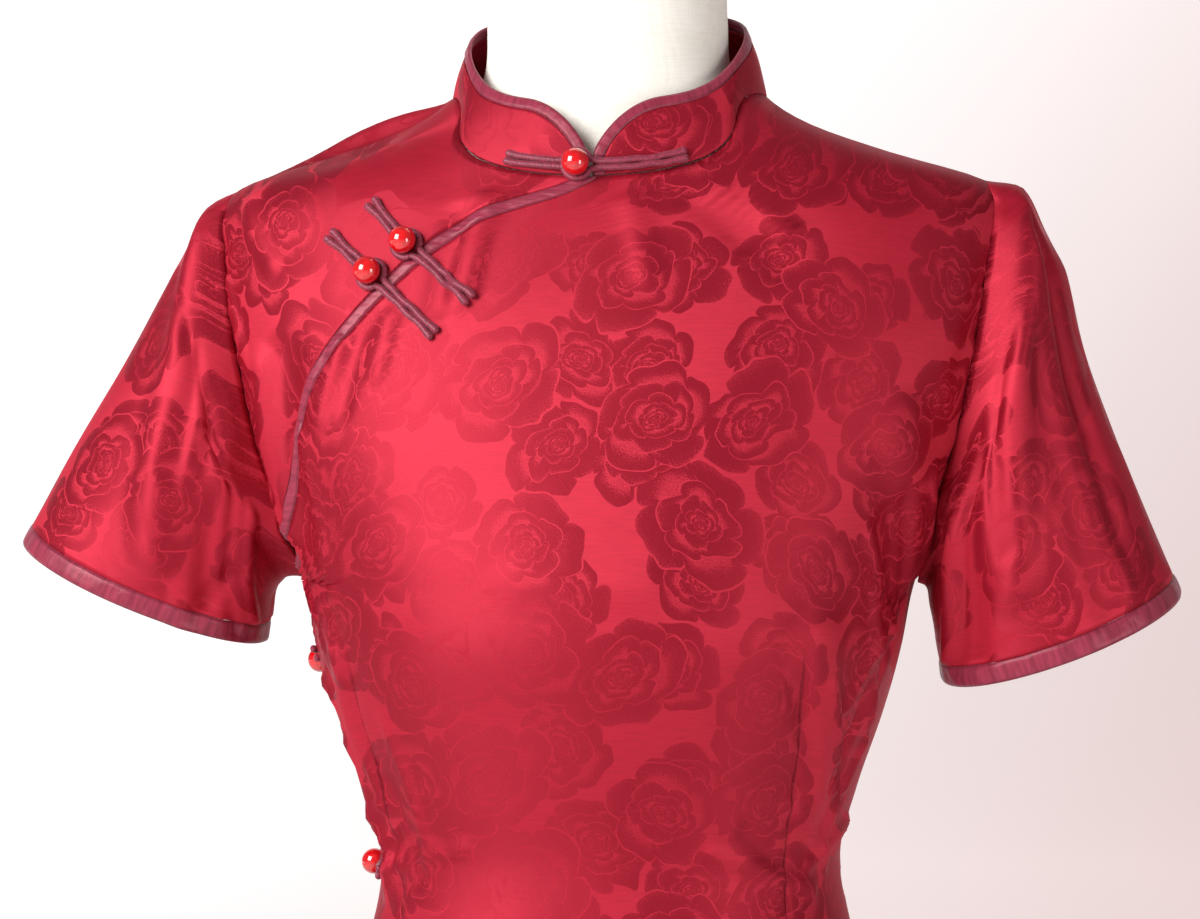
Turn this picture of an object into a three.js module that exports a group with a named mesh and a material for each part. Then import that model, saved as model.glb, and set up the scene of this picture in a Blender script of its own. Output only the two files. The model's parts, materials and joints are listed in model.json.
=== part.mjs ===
// A short-sleeved cheongsam in figured satin, buttoned on a limbless dress form with a round stand.
//
// Millimetres, +Z up. The front faces -Y, and +X is the wearer's left. The origin is on the floor, under the
// middle of the stand. The cloth is a thin wall on one worn shape: level sections give its half width and its
// depths, and every panel is a part of that shape, cut along the garment's own seams.

import * as THREE from "three";
import { mergeVertices } from "three/addons/utils/BufferGeometryUtils.js";

// ---------------------------------------------------------------- driving dimensions

const CLOTH = 1.2; // wall of one layer of satin
const BINDING = 2.4; // wall of a bound edge: satin folded over the cloth
const SEAM = 0.3; // gap between neighbouring pieces
const EDGE_BINDING = 6; // width of the binding on collar and placket
const HEM_BINDING = 10; // width of the binding on cuffs, slits and hem

const HEM = 362; // heights above the floor
const SLIT_TOP = 700;
const ARMPIT = 1186;
const SHOULDER_TIP = 1380;
const SIDE_NECK = 1422;
const FRONT_NECK = 1379;
const BACK_NECK = 1436;
const FRONT_AT_TIP = 1346; // centre-front height of the row that starts at the shoulder tip
const BACK_AT_TIP = 1388;

const NECK_SCOOP = 1.8; // how much faster the front rows rise beside the neck than lower down
const SLIT_GAP = 7; // half the opening of a side slit at the hem
const WORN_TO_RIGHT = 10; // the sleeves don't stand out alike: this centres the whole part over the origin
const COLLAR_GAP = 1.2; // half the gap between the collar's ends at centre front
const COLLAR_CORNER = 40; // length of the collar's rounded front corners, along the neckline

const BEAD = 13; // diameter of a button bead
const STRIP_WIDTH = 6.4; // the two cords of a frog strip, side by side
const STRIP_HEIGHT = 2.6;
const STRIP_LIFT = 1.7; // a strip's underside above the middle of the cloth

const POLE_RADIUS = 12.5;
const BASE_RADIUS = 190;
const BASE_EDGE = 9; // height of the stand's rim
const BASE_DOME = 26; // height of the stand's middle
const FORM_BOTTOM = 770;

// Level sections of the worn garment: half width, y of the side line, depth of the front and of the back
// from that line, and squareness (2 is an ellipse).
const BODY_SECTIONS = [
  { z: 350, wide: 169, side: 2, front: 88, back: 92, square: 2.5 },
  { z: 480, wide: 169, side: 2, front: 92, back: 96, square: 2.5 },
  { z: 640, wide: 170, side: 3, front: 100, back: 104, square: 2.4 },
  { z: 840, wide: 168, side: 4, front: 110, back: 112, square: 2.35 },
  { z: 950, wide: 142, side: 4, front: 100, back: 96, square: 2.3 },
  { z: 1000, wide: 122, side: 4, front: 92, back: 82, square: 2.25 },
  { z: 1050, wide: 112.5, side: 3, front: 88, back: 76, square: 2.2 },
  { z: 1085, wide: 120.5, side: 2, front: 98, back: 81, square: 2.2 },
  { z: 1120, wide: 132.5, side: 1, front: 112, back: 89, square: 2.2 },
  { z: 1155, wide: 142, side: 0, front: 123, back: 96, square: 2.2 },
  { z: 1186, wide: 149, side: 0, front: 122, back: 100, square: 2.2 },
  { z: 1215, wide: 161, side: 1, front: 118, back: 103, square: 2.2 },
  { z: 1255, wide: 177, side: 1, front: 111, back: 106, square: 2.2 },
  { z: 1300, wide: 191, side: 2, front: 102, back: 105, square: 2.15 },
  { z: 1340, wide: 198, side: 3, front: 89, back: 99, square: 2.1 },
  { z: 1365, wide: 198, side: 4, front: 80, back: 91, square: 2.05 },
  { z: 1380, wide: 184, side: 4, front: 73, back: 84, square: 2 },
  { z: 1394, wide: 138, side: 2, front: 66, back: 77, square: 2 },
  { z: 1408, wide: 99, side: 0, front: 59, back: 69, square: 2 },
  { z: 1422, wide: 77, side: -3, front: 52, back: 63, square: 2 },
  { z: 1436, wide: 70, side: -4, front: 50, back: 57, square: 2 },
];

// Half widths of the front and the back between the armholes.
const ARMHOLE = [
  { z: 1186, front: 149, back: 149 },
  { z: 1200, front: 153.4, back: 153.4 },
  { z: 1215, front: 157.5, back: 157.5 },
  { z: 1250, front: 169, back: 168.5 },
  { z: 1300, front: 179.5, back: 178 },
  { z: 1345, front: 186.5, back: 185.5 },
  { z: 1368, front: 188.6, back: 188.4 },
  { z: 1380, front: 184, back: 184 },
];

// Top edge of the collar before its front corners are rounded: height at degrees round from centre front.
const COLLAR_TOP = [
  { turn: 0, z: 1416 },
  { turn: 26, z: 1417.5 },
  { turn: 40, z: 1420.5 },
  { turn: 52, z: 1425.5 },
  { turn: 65, z: 1434 },
  { turn: 78, z: 1443.5 },
  { turn: 92, z: 1452 },
  { turn: 110, z: 1460 },
  { turn: 135, z: 1466 },
  { turn: 180, z: 1470 },
];

// The bound opening from the neck to the wearer's right armpit, on the front: distance from the centre line.
const PLACKET = [
  { x: 6, z: 1384 },
  { x: -1, z: 1378.5 },
  { x: -14, z: 1372 },
  { x: -40, z: 1364 },
  { x: -56, z: 1357 },
  { x: -75, z: 1345 },
  { x: -102, z: 1321 },
  { x: -124, z: 1296 },
  { x: -136, z: 1278 },
  { x: -144, z: 1252 },
  { x: -147.5, z: 1228 },
  { x: -149.5, z: 1206 },
  { x: -150.3, z: 1194 },
  { x: -149.2, z: 1186 },
];

// Soft folds of the cloth. A fold runs between two places (degrees round from centre front, height). It stands
// out by height, or sinks in if that is negative, and fades over width on each side.
const FOLDS = [
  { name: "right shoulder lift", from: [-96, 1403], to: [-84, 1403], width: 13, height: 9 },
  { name: "right armhole ridge", from: [-58, 1290], to: [-66, 1215], width: 9, height: 3 },
  { name: "right armhole hollow", from: [-50, 1292], to: [-57, 1215], width: 11, height: -3.5 },
  { name: "left armhole drag", from: [52, 1262], to: [76, 1196], width: 11, height: 3 },
  { name: "left bust hollow", from: [58, 1215], to: [70, 1180], width: 10, height: -3 },
  { name: "left dart ridge", from: [48, 1160], to: [58, 1085], width: 12, height: 3.5 },
  { name: "right dart ridge", from: [-58, 1150], to: [-62, 1040], width: 8, height: 3.5 },
  { name: "right side hollow", from: [-72, 1130], to: [-74, 1060], width: 10, height: -3 },
  { name: "collar drag", from: [20, 1366], to: [27, 1335], width: 7, height: -2 },
  { name: "back waist fold", from: [150, 1085], to: [205, 1068], width: 14, height: 4 },
  { name: "back waist hollow", from: [152, 1050], to: [208, 1042], width: 13, height: -3 },
  { name: "front skirt fold", from: [-30, 700], to: [-38, 362], width: 26, height: 5 },
  { name: "front skirt fold, left", from: [34, 640], to: [42, 362], width: 24, height: 5 },
  { name: "front skirt hollow", from: [4, 600], to: [2, 362], width: 34, height: -4 },
  { name: "back skirt fold", from: [148, 720], to: [142, 362], width: 26, height: 6 },
  { name: "back skirt fold, right", from: [212, 700], to: [220, 362], width: 26, height: 6 },
  { name: "back skirt hollow", from: [180, 660], to: [180, 362], width: 34, height: -4 },
];

// Sleeve rings from the armhole (along 0) to the cuff (along 1): the outer and the inner edge, and the depth of
// the front and the back from the line between them.
const RIGHT_SLEEVE = {
  side: -1,
  drop: 6, // how far the front of the cuff hangs below the straight line
  rings: [
    { along: 0, outerX: 185, outerZ: 1380, innerX: 150, innerZ: 1186, front: 44, back: 48 },
    { along: 0.06, outerX: 202, outerZ: 1372, innerX: 157, innerZ: 1187.5, front: 49, back: 52 },
    { along: 0.2, outerX: 216, outerZ: 1345, innerX: 165, innerZ: 1186.5, front: 52, back: 55 },
    { along: 0.5, outerX: 245, outerZ: 1294, innerX: 171, innerZ: 1178, front: 51, back: 53 },
    { along: 0.75, outerX: 272, outerZ: 1249, innerX: 173, innerZ: 1167, front: 48, back: 49 },
    { along: 1, outerX: 297.5, outerZ: 1205, innerX: 175, innerZ: 1154, front: 45, back: 45 },
  ],
  folds: [
    { name: "cap puff", from: [20, 0.1], to: [-20, 0.14], width: 12, height: 2 },
    { name: "front hollow", from: [60, 0.25], to: [95, 0.75], width: 11, height: -4 },
    { name: "front ridge", from: [95, 0.15], to: [128, 0.8], width: 10, height: 4 },
    { name: "back hollow", from: [-60, 0.2], to: [-90, 0.8], width: 12, height: -4 },
    { name: "back ridge", from: [-100, 0.15], to: [-125, 0.8], width: 11, height: 3.5 },
  ],
};
const LEFT_SLEEVE = {
  side: 1,
  drop: 11,
  rings: [
    { along: 0, outerX: 185, outerZ: 1380, innerX: 150, innerZ: 1186, front: 44, back: 48 },
    { along: 0.06, outerX: 204, outerZ: 1376, innerX: 154.5, innerZ: 1184, front: 50, back: 53 },
    { along: 0.2, outerX: 219, outerZ: 1345, innerX: 157, innerZ: 1178, front: 54, back: 57 },
    { along: 0.5, outerX: 233, outerZ: 1291, innerX: 159, innerZ: 1164, front: 53, back: 55 },
    { along: 0.75, outerX: 252, outerZ: 1240, innerX: 161, innerZ: 1152, front: 50, back: 50 },
    { along: 1, outerX: 277, outerZ: 1181, innerX: 163, innerZ: 1138, front: 47, back: 46 },
  ],
  folds: [
    { name: "cap puff", from: [20, 0.1], to: [-20, 0.14], width: 13, height: 3 },
    { name: "front ridge", from: [32, 0.12], to: [44, 0.8], width: 9, height: 3 },
    { name: "front hollow", from: [70, 0.2], to: [100, 0.7], width: 12, height: -4 },
    { name: "underarm ridge", from: [110, 0.2], to: [135, 0.85], width: 10, height: 4 },
    { name: "back hollow", from: [-60, 0.2], to: [-95, 0.75], width: 12, height: -4 },
    { name: "back ridge", from: [-105, 0.2], to: [-130, 0.8], width: 11, height: 3.5 },
  ],
};

// Level sections of the dress form, inside the garment.
const FORM_SECTIONS = [
  { z: 770, wide: 158, side: 4, front: 99, back: 101, square: 2.3 },
  { z: 850, wide: 162, side: 4, front: 105, back: 107, square: 2.3 },
  { z: 950, wide: 137, side: 4, front: 95, back: 91, square: 2.25 },
  { z: 1000, wide: 117, side: 4, front: 87, back: 77, square: 2.2 },
  { z: 1050, wide: 107.5, side: 3, front: 83, back: 70, square: 2.15 },
  { z: 1085, wide: 113, side: 2, front: 92, back: 76, square: 2.15 },
  { z: 1120, wide: 124, side: 1, front: 107, back: 84, square: 2.15 },
  { z: 1155, wide: 135, side: 0, front: 118, back: 91, square: 2.1 },
  { z: 1190, wide: 142, side: 0, front: 117, back: 95, square: 2.1 },
  { z: 1250, wide: 158, side: 1, front: 106, back: 101, square: 2.1 },
  { z: 1300, wide: 169, side: 2, front: 96, back: 99, square: 2.1 },
  { z: 1345, wide: 175, side: 3, front: 82, back: 91, square: 2.05 },
  { z: 1366, wide: 176, side: 3, front: 74, back: 83, square: 2 },
  { z: 1379, wide: 170, side: 3, front: 67, back: 78, square: 2 },
  { z: 1391, wide: 134, side: 2, front: 61, back: 72, square: 2 },
  { z: 1405, wide: 94, side: -1, front: 54, back: 64, square: 2 },
  { z: 1417, wide: 73, side: -4, front: 48, back: 56, square: 2 },
  { z: 1432, wide: 61.5, side: -7, front: 45, back: 49, square: 2 },
  { z: 1460, wide: 59, side: -10, front: 45, back: 45, square: 2 },
  { z: 1490, wide: 58, side: -13, front: 45, back: 45, square: 2 },
  { z: 1503, wide: 51, side: -14, front: 40, back: 40, square: 2 },
  { z: 1509, wide: 38, side: -14, front: 30, back: 30, square: 2 },
];

// Frogs on the front: the bead, and the far ends of the button strip and of the loop strip, as distance from the
// centre line and height; on the collar as length along the neckline and height above it.
const FRONT_FROGS = [
  { name: "collar_frog", bead: [-6, 5.5], button: [-41, 5], loop: [46, 4] },
  { name: "chest_frog", bead: [-86, 1346], button: [-106, 1367], loop: [-53.5, 1319.5] },
  { name: "yoke_frog", bead: [-102.5, 1332], button: [-126, 1352], loop: [-70, 1303.5] },
];
// Frogs down the opening on the wearer's right side: height of the strips and of the bead, and degrees round
// from centre front.
const SIDE_FROGS = [
  { name: "side_frog_bust", z: 1151, bead: 1143, at: -95 },
  { name: "side_frog_waist", z: 1041, bead: 1046, at: -95 },
  { name: "side_frog_high_hip", z: 940, bead: 942, at: -95 },
  { name: "side_frog_hip", z: 840, bead: 842, at: -95 },
];

// How far each row of a panel sags or rises between its side and its centre line: heights at both.
const FRONT_ROWS = [
  { z: 350, centre: 350 },
  { z: 1130, centre: 1130 },
  { z: 1186, centre: 1185 },
  { z: 1250, centre: 1243 },
  { z: 1300, centre: 1286 },
  { z: 1345, centre: 1321 },
  { z: 1380, centre: FRONT_AT_TIP },
  { z: 1422, centre: FRONT_NECK },
  { z: 1436, centre: FRONT_NECK + 11 },
];
const BACK_ROWS = [
  { z: 350, centre: 350 },
  { z: 1130, centre: 1130 },
  { z: 1186, centre: 1187 },
  { z: 1300, centre: 1304 },
  { z: 1380, centre: BACK_AT_TIP },
  { z: 1422, centre: BACK_NECK },
  { z: 1436, centre: BACK_NECK + 16 },
];

// ---------------------------------------------------------------- small tools

const RAD = Math.PI / 180;
const lerp = (a, b, t) => a + (b - a) * t;
const clamp = (t) => Math.min(1, Math.max(0, t));
const smooth = (t) => clamp(t) ** 2 * (3 - 2 * clamp(t));
const steps = (from, to, count) => Array.from({ length: count + 1 }, (_, i) => lerp(from, to, i / count));

// A smooth curve through one column of a table, over the column named over.
function curve(rows, column, over = "z") {
  const slope = (i) => {
    const a = rows[Math.max(0, i - 1)];
    const b = rows[Math.min(rows.length - 1, i + 1)];
    return (b[column] - a[column]) / (b[over] - a[over]);
  };
  return (at) => {
    let i = 0;
    while (i < rows.length - 2 && at > rows[i + 1][over]) i += 1;
    const a = rows[i];
    const b = rows[i + 1];
    const gap = b[over] - a[over];
    const t = (at - a[over]) / gap;
    if (t < 0) return a[column] + slope(i) * gap * t;
    if (t > 1) return b[column] + slope(i + 1) * gap * (t - 1);
    const bend = t * t * (3 - 2 * t);
    return (
      lerp(a[column], b[column], bend) +
      gap * (slope(i) * t * (1 - t) ** 2 - slope(i + 1) * t * t * (1 - t))
    );
  };
}

function solve(value, target, low, high) {
  const rising = value(high) > value(low);
  for (let i = 0; i < 36; i += 1) {
    const middle = (low + high) / 2;
    if (value(middle) < target === rising) low = middle;
    else high = middle;
  }
  return (low + high) / 2;
}

// A table read by its first number: linear between the rows.
function lookup(rows, at) {
  let i = 0;
  while (i < rows.length - 2 && at > rows[i + 1][0]) i += 1;
  const [x0, y0] = rows[i];
  const [x1, y1] = rows[i + 1];
  return lerp(y0, y1, clamp((at - x0) / (x1 - x0)));
}

// ---------------------------------------------------------------- the worn shape

function loft(sections) {
  const column = Object.fromEntries(
    ["wide", "side", "front", "back", "square"].map((name) => [name, curve(sections, name)]),
  );
  return (degrees, z) => {
    const sine = Math.sin(degrees * RAD);
    const cosine = Math.cos(degrees * RAD);
    const n = column.square(z);
    const reach = (Math.abs(sine) ** n + Math.abs(cosine) ** n) ** (-1 / n);
    const depth = cosine > 0 ? column.front(z) : column.back(z);
    return new THREE.Vector3(column.wide(z) * reach * sine, column.side(z) - depth * reach * cosine, z);
  };
}

function normalOf(point, u, v, du, dv) {
  const across = point(u + du, v).sub(point(u - du, v));
  const along = point(u, v + dv).sub(point(u, v - dv));
  return across.cross(along).normalize();
}

function foldHeight(folds, degrees, z, scale) {
  let height = 0;
  for (const fold of folds) {
    let turn = degrees;
    while (turn - fold.from[0] > 180) turn -= 360;
    while (turn - fold.from[0] < -180) turn += 360;
    const ax = fold.from[0] * scale;
    const bx = fold.to[0] * scale - ax;
    const bz = fold.to[1] - fold.from[1];
    const px = turn * scale - ax;
    const pz = z - fold.from[1];
    const t = clamp((px * bx + pz * bz) / (bx * bx + bz * bz));
    const distance = Math.hypot(px - bx * t, pz - bz * t) / (1.6 * fold.width);
    if (distance < 1) height += fold.height * (1 - distance * distance) ** 2;
  }
  return height;
}

const smoothBody = loft(BODY_SECTIONS);
const body = (degrees, z) => {
  const lift = foldHeight(FOLDS, degrees, z, 2.3);
  const point = smoothBody(degrees, z);
  return lift === 0 ? point : point.addScaledVector(normalOf(smoothBody, degrees, z, 0.5, 0.5), lift);
};

// Millimetres along the cloth, as degrees round it.
const turnOf = (degrees, z, length) =>
  length / (smoothBody(degrees + 0.5, z).distanceTo(smoothBody(degrees - 0.5, z)) || 1);

const faces = {
  front: { rows: curve(FRONT_ROWS, "centre"), armhole: curve(ARMHOLE, "front") },
  back: { rows: curve(BACK_ROWS, "centre"), armhole: curve(ARMHOLE, "back") },
};

// The degrees from a face's centre line to its armhole, or to its side line where it has no armhole.
const edgeCache = new Map();
function edgeTurn(face, level) {
  if (level <= ARMPIT || level >= SHOULDER_TIP) return 90;
  const key = face + level.toFixed(4);
  if (!edgeCache.has(key)) {
    const half = Math.min(faces[face].armhole(level), smoothBody(90, level).x);
    edgeCache.set(key, solve((turn) => smoothBody(turn, level).x, half, 20, 90));
  }
  return edgeCache.get(key);
}

// Height of a row of a face: it starts at the armhole or shoulder at the given level and runs to the centre.
function rowHeight(face, level, turn) {
  const edge = edgeTurn(face, level);
  const power = face === "front" ? 2 + NECK_SCOOP * smooth((level - SHOULDER_TIP) / (SIDE_NECK - SHOULDER_TIP)) : 2;
  const atEdge = Math.abs(Math.cos(edge * RAD)) ** power;
  const share = (Math.abs(Math.cos(turn * RAD)) ** power - atEdge) / (1 - atEdge);
  return level + (faces[face].rows(level) - level) * share;
}

const frontPoint = (turn, level) => body(turn, rowHeight("front", level, turn));
const backPoint = (turn, level) => body(180 - turn, rowHeight("back", level, turn));
const frontLevel = (turn, z) => solve((level) => rowHeight("front", level, turn), z, 355, 1436);

// ---------------------------------------------------------------- solids

const COLOURS = {
  satin: { color: 0xb01020, roughness: 0.42, metalness: 0 },
  binding: { color: 0x6d0616, roughness: 0.5, metalness: 0 },
  bead: { color: 0xd0121c, roughness: 0.12, metalness: 0 },
  linen: { color: 0xd9cdb6, roughness: 0.9, metalness: 0 },
  steel: { color: 0x9a9a98, roughness: 0.35, metalness: 1 },
};

const group = new THREE.Group();
group.name = "cheongsam";

function add(name, finish, positions, triangles) {
  let geometry = new THREE.BufferGeometry();
  geometry.setAttribute("position", new THREE.Float32BufferAttribute(positions, 3));
  geometry.setIndex(triangles);
  const at = (i) => new THREE.Vector3(positions[3 * i], positions[3 * i + 1], positions[3 * i + 2]);
  let volume = 0;
  for (let i = 0; i < triangles.length; i += 3) {
    const [a, b, c] = [at(triangles[i]), at(triangles[i + 1]), at(triangles[i + 2])];
    volume += a.dot(b.cross(c)) / 6;
  }
  if (volume < 0) {
    for (let i = 0; i < triangles.length; i += 3) {
      [triangles[i], triangles[i + 1]] = [triangles[i + 1], triangles[i]];
    }
    geometry.setIndex(triangles);
  }
  geometry = mergeVertices(geometry, 1e-5);
  geometry.computeVertexNormals();
  const mesh = new THREE.Mesh(geometry, new THREE.MeshStandardMaterial(COLOURS[finish]));
  mesh.name = name;
  group.add(mesh);
}

// A wall on a surface: both faces and the rims. The surface is read at every across and along.
function sheet(name, finish, { point, across, along, wall = () => CLOTH / 2, closed = false }) {
  const positions = [];
  const columns = across.length;
  const rows = along.length;
  const du = Math.abs(across[1] - across[0]) * 0.02;
  const dv = Math.abs(along[1] - along[0]) * 0.02;
  for (const side of [1, -1]) {
    for (const v of along) {
      for (const u of across) {
        const normal = normalOf(point, u, v, du, dv);
        const at = point(u, v).addScaledVector(normal, side * wall(u, v));
        positions.push(at.x, at.y, at.z);
      }
    }
  }
  const id = (side, i, j) => (side * rows + j) * columns + (i % columns);
  const triangles = [];
  const quad = (a, b, c, d) => triangles.push(a, b, c, a, c, d);
  const spans = closed ? columns : columns - 1;
  for (let j = 0; j < rows - 1; j += 1) {
    for (let i = 0; i < spans; i += 1) {
      quad(id(0, i, j), id(0, i + 1, j), id(0, i + 1, j + 1), id(0, i, j + 1));
      quad(id(1, i, j), id(1, i, j + 1), id(1, i + 1, j + 1), id(1, i + 1, j));
    }
    if (!closed) {
      quad(id(0, 0, j + 1), id(1, 0, j + 1), id(1, 0, j), id(0, 0, j));
      quad(id(0, spans, j), id(1, spans, j), id(1, spans, j + 1), id(0, spans, j + 1));
    }
  }
  for (let i = 0; i < spans; i += 1) {
    quad(id(0, i, 0), id(1, i, 0), id(1, i + 1, 0), id(0, i + 1, 0));
    const j = rows - 1;
    quad(id(0, i + 1, j), id(1, i + 1, j), id(1, i, j), id(0, i, j));
  }
  add(name, finish, positions, triangles);
}

// Rings of points, one above the other, closed by a point at each end.
function solidRings(name, finish, rings, bottom, top) {
  const positions = [];
  const columns = rings[0].length;
  for (const ring of rings) for (const at of ring) positions.push(at.x, at.y, at.z);
  positions.push(bottom.x, bottom.y, bottom.z, top.x, top.y, top.z);
  const low = rings.length * columns;
  const triangles = [];
  for (let i = 0; i < columns; i += 1) {
    const k = (i + 1) % columns;
    for (let j = 0; j < rings.length - 1; j += 1) {
      const [a, b] = [j * columns, (j + 1) * columns];
      triangles.push(a + i, a + k, b + k, a + i, b + k, b + i);
    }
    triangles.push(low, k, i);
    const last = (rings.length - 1) * columns;
    triangles.push(low + 1, last + i, last + k);
  }
  add(name, finish, positions, triangles);
}

// ---------------------------------------------------------------- front, opening and back

const placketTurn = curve(
  PLACKET.map(({ x, z }) => ({ z: -z, turn: Math.sign(x) * solve((t) => smoothBody(t, z).x, Math.abs(x), 0, 90) })),
  "turn",
);
const PLACKET_TOP = PLACKET[0].z;
const PLACKET_END = PLACKET[PLACKET.length - 1].z;

// A line beside the opening: points of the opening moved across it along the cloth, as [level, turn].
function besidePlacket(distance) {
  const line = [];
  for (const z of steps(PLACKET_TOP, PLACKET_END, 90)) {
    const turn = placketTurn(-z);
    const here = smoothBody(turn, z);
    const along = smoothBody(placketTurn(-z + 1), z - 1).sub(smoothBody(placketTurn(-z - 1), z + 1)).normalize();
    const byTurn = smoothBody(turn + 0.5, z).sub(smoothBody(turn - 0.5, z));
    const byHeight = smoothBody(turn, z + 0.5).sub(smoothBody(turn, z - 0.5));
    const sideways = along.clone().cross(byTurn.clone().cross(byHeight).normalize());
    if (sideways.x < 0) sideways.negate();
    if (Math.abs(sideways.x) < 0.02 && sideways.z > 0) sideways.negate();
    const move = sideways.multiplyScalar(distance);
    const [tt, tz, zz] = [byTurn.dot(byTurn), byTurn.dot(byHeight), byHeight.dot(byHeight)];
    const [mt, mz] = [move.dot(byTurn), move.dot(byHeight)];
    const area = tt * zz - tz * tz;
    const newTurn = turn + (mt * zz - mz * tz) / area;
    const newHeight = here.z + (mz * tt - mt * tz) / area;
    line.push([frontLevel(newTurn, newHeight), newTurn]);
  }
  return line.sort((a, b) => a[0] - b[0]);
}

const trimAtArmhole = 0.5;
function edgeTrim(face, level) {
  const edge = edgeTurn(face, level);
  const seam = level > ARMPIT && level < SHOULDER_TIP ? trimAtArmhole : SEAM / 2;
  return edge - turnOf(face === "front" ? edge : 180 - edge, level, seam);
}

// Half the slit's opening, and the strip that its binding takes.
const slitOpening = (level) => (level < SLIT_TOP ? SLIT_GAP * ((SLIT_TOP - level) / (SLIT_TOP - HEM)) ** 1.2 : 0);
function skirtEdge(face, level, inset) {
  const from = face === "front" ? 90 : 90;
  return from - turnOf(from, level, SEAM / 2 + slitOpening(level) + inset);
}
const slitInset = (level) => (HEM_BINDING + SEAM) * clamp((SLIT_TOP + HEM_BINDING - level) / HEM_BINDING);
const sideLimit = (face, level) =>
  level < SLIT_TOP + HEM_BINDING ? skirtEdge(face, level, slitInset(level)) : edgeTrim(face, level);

const inner = besidePlacket(EDGE_BINDING / 2 + 1.5 * SEAM);
const outer = besidePlacket(-EDGE_BINDING / 2 - 1.5 * SEAM);
const NECK_LEVEL = SIDE_NECK - 0.5;

const openingLimit = (level) =>
  level > ARMPIT ? Math.max(-edgeTrim("front", level), lookup(inner, level)) : -sideLimit("front", level);

const skirtLevels = [HEM + HEM_BINDING + SEAM, 440, 520, 600, 660, SLIT_TOP, SLIT_TOP + HEM_BINDING, 760, 820];
const waistLevels = [870, 915, 955, 985, 1010, 1032, 1054, 1076, 1098, 1120, 1140, 1158, 1173, ARMPIT - 0.4];
const upperLevels = [1190, 1198, 1208, 1222, 1240, 1260, 1280, 1300, 1318, 1334, 1347, 1358, 1367, 1374, 1379.7, 1386];

// The binding and the right yoke start where they are wide enough beside the armhole.
const firstLevel = (line, width) => {
  let level = ARMPIT + 1;
  while (lookup(line, level) + edgeTrim("front", level) < width) level += 0.25;
  return level;
};
const bindingFrom = firstLevel(inner, 1.6);
const yokeFrom = firstLevel(outer, 1.2);
// Rows shared by the three pieces that meet along the opening.
const openingLevels = [bindingFrom, yokeFrom, ...upperLevels, 1393, 1400, 1406, 1411, 1416, NECK_LEVEL]
  .sort((a, b) => a - b)
  .filter((z) => z >= bindingFrom && (z === bindingFrom || z === yokeFrom || (Math.abs(z - bindingFrom) > 2.5 && Math.abs(z - yokeFrom) > 2.5)));

sheet("front_main", "satin", {
  across: steps(0, 1, 20),
  along: [...skirtLevels, ...waistLevels, ...openingLevels],
  point: (u, level) => frontPoint(lerp(openingLimit(level), sideLimit("front", level), u), level),
});

sheet("front_yoke_right", "satin", {
  across: steps(0, 1, 8),
  along: openingLevels.filter((z) => z >= yokeFrom),
  point: (u, level) => frontPoint(lerp(-edgeTrim("front", level), lookup(outer, level), u), level),
});

const bindingWall = (share) => BINDING / 2 - 0.45 * Math.abs(2 * share - 1) ** 6;
{
  const [left, right] = [besidePlacket(-EDGE_BINDING / 2), besidePlacket(EDGE_BINDING / 2)];
  sheet("placket_binding", "binding", {
    across: [0, 0.2, 0.8, 1],
    along: openingLevels,
    point: (share, level) => {
      const from = Math.max(lookup(left, level), 0.2 - edgeTrim("front", level));
      return frontPoint(lerp(from, lookup(right, level), share), level);
    },
    wall: bindingWall,
  });
}

sheet("back_panel", "satin", {
  across: steps(-1, 1, 20),
  along: [...skirtLevels, ...waistLevels, ...upperLevels.filter((z) => z !== 1379.7 && z !== 1367), 1380, 1396, 1408, NECK_LEVEL],
  point: (u, level) => backPoint(u * sideLimit("back", level), level),
});

// The binding of one skirt panel: down one slit, round the hem, up the other.
for (const face of ["front", "back"]) {
  const at = face === "front" ? frontPoint : backPoint;
  const place = (t, inset) => {
    const low = HEM + inset;
    const top = SLIT_TOP + HEM_BINDING - inset - SEAM;
    if (t < 1) {
      const level = lerp(top, low, t);
      return at(-skirtEdge(face, level, inset), level);
    }
    if (t > 2) {
      const level = lerp(low, top, t - 2);
      return at(skirtEdge(face, level, inset), level);
    }
    const edge = skirtEdge(face, low, inset);
    return at(lerp(-edge, edge, t - 1), low);
  };
  sheet(`hem_binding_${face}`, "binding", {
    across: [0, 0.2, 0.8, 1],
    along: [...steps(0, 1, 5), ...steps(1, 2, 20).slice(1), ...steps(2, 3, 5).slice(1)],
    point: (share, t) => place(t, share * HEM_BINDING),
    wall: bindingWall,
  });
}

// ---------------------------------------------------------------- sleeves

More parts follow.
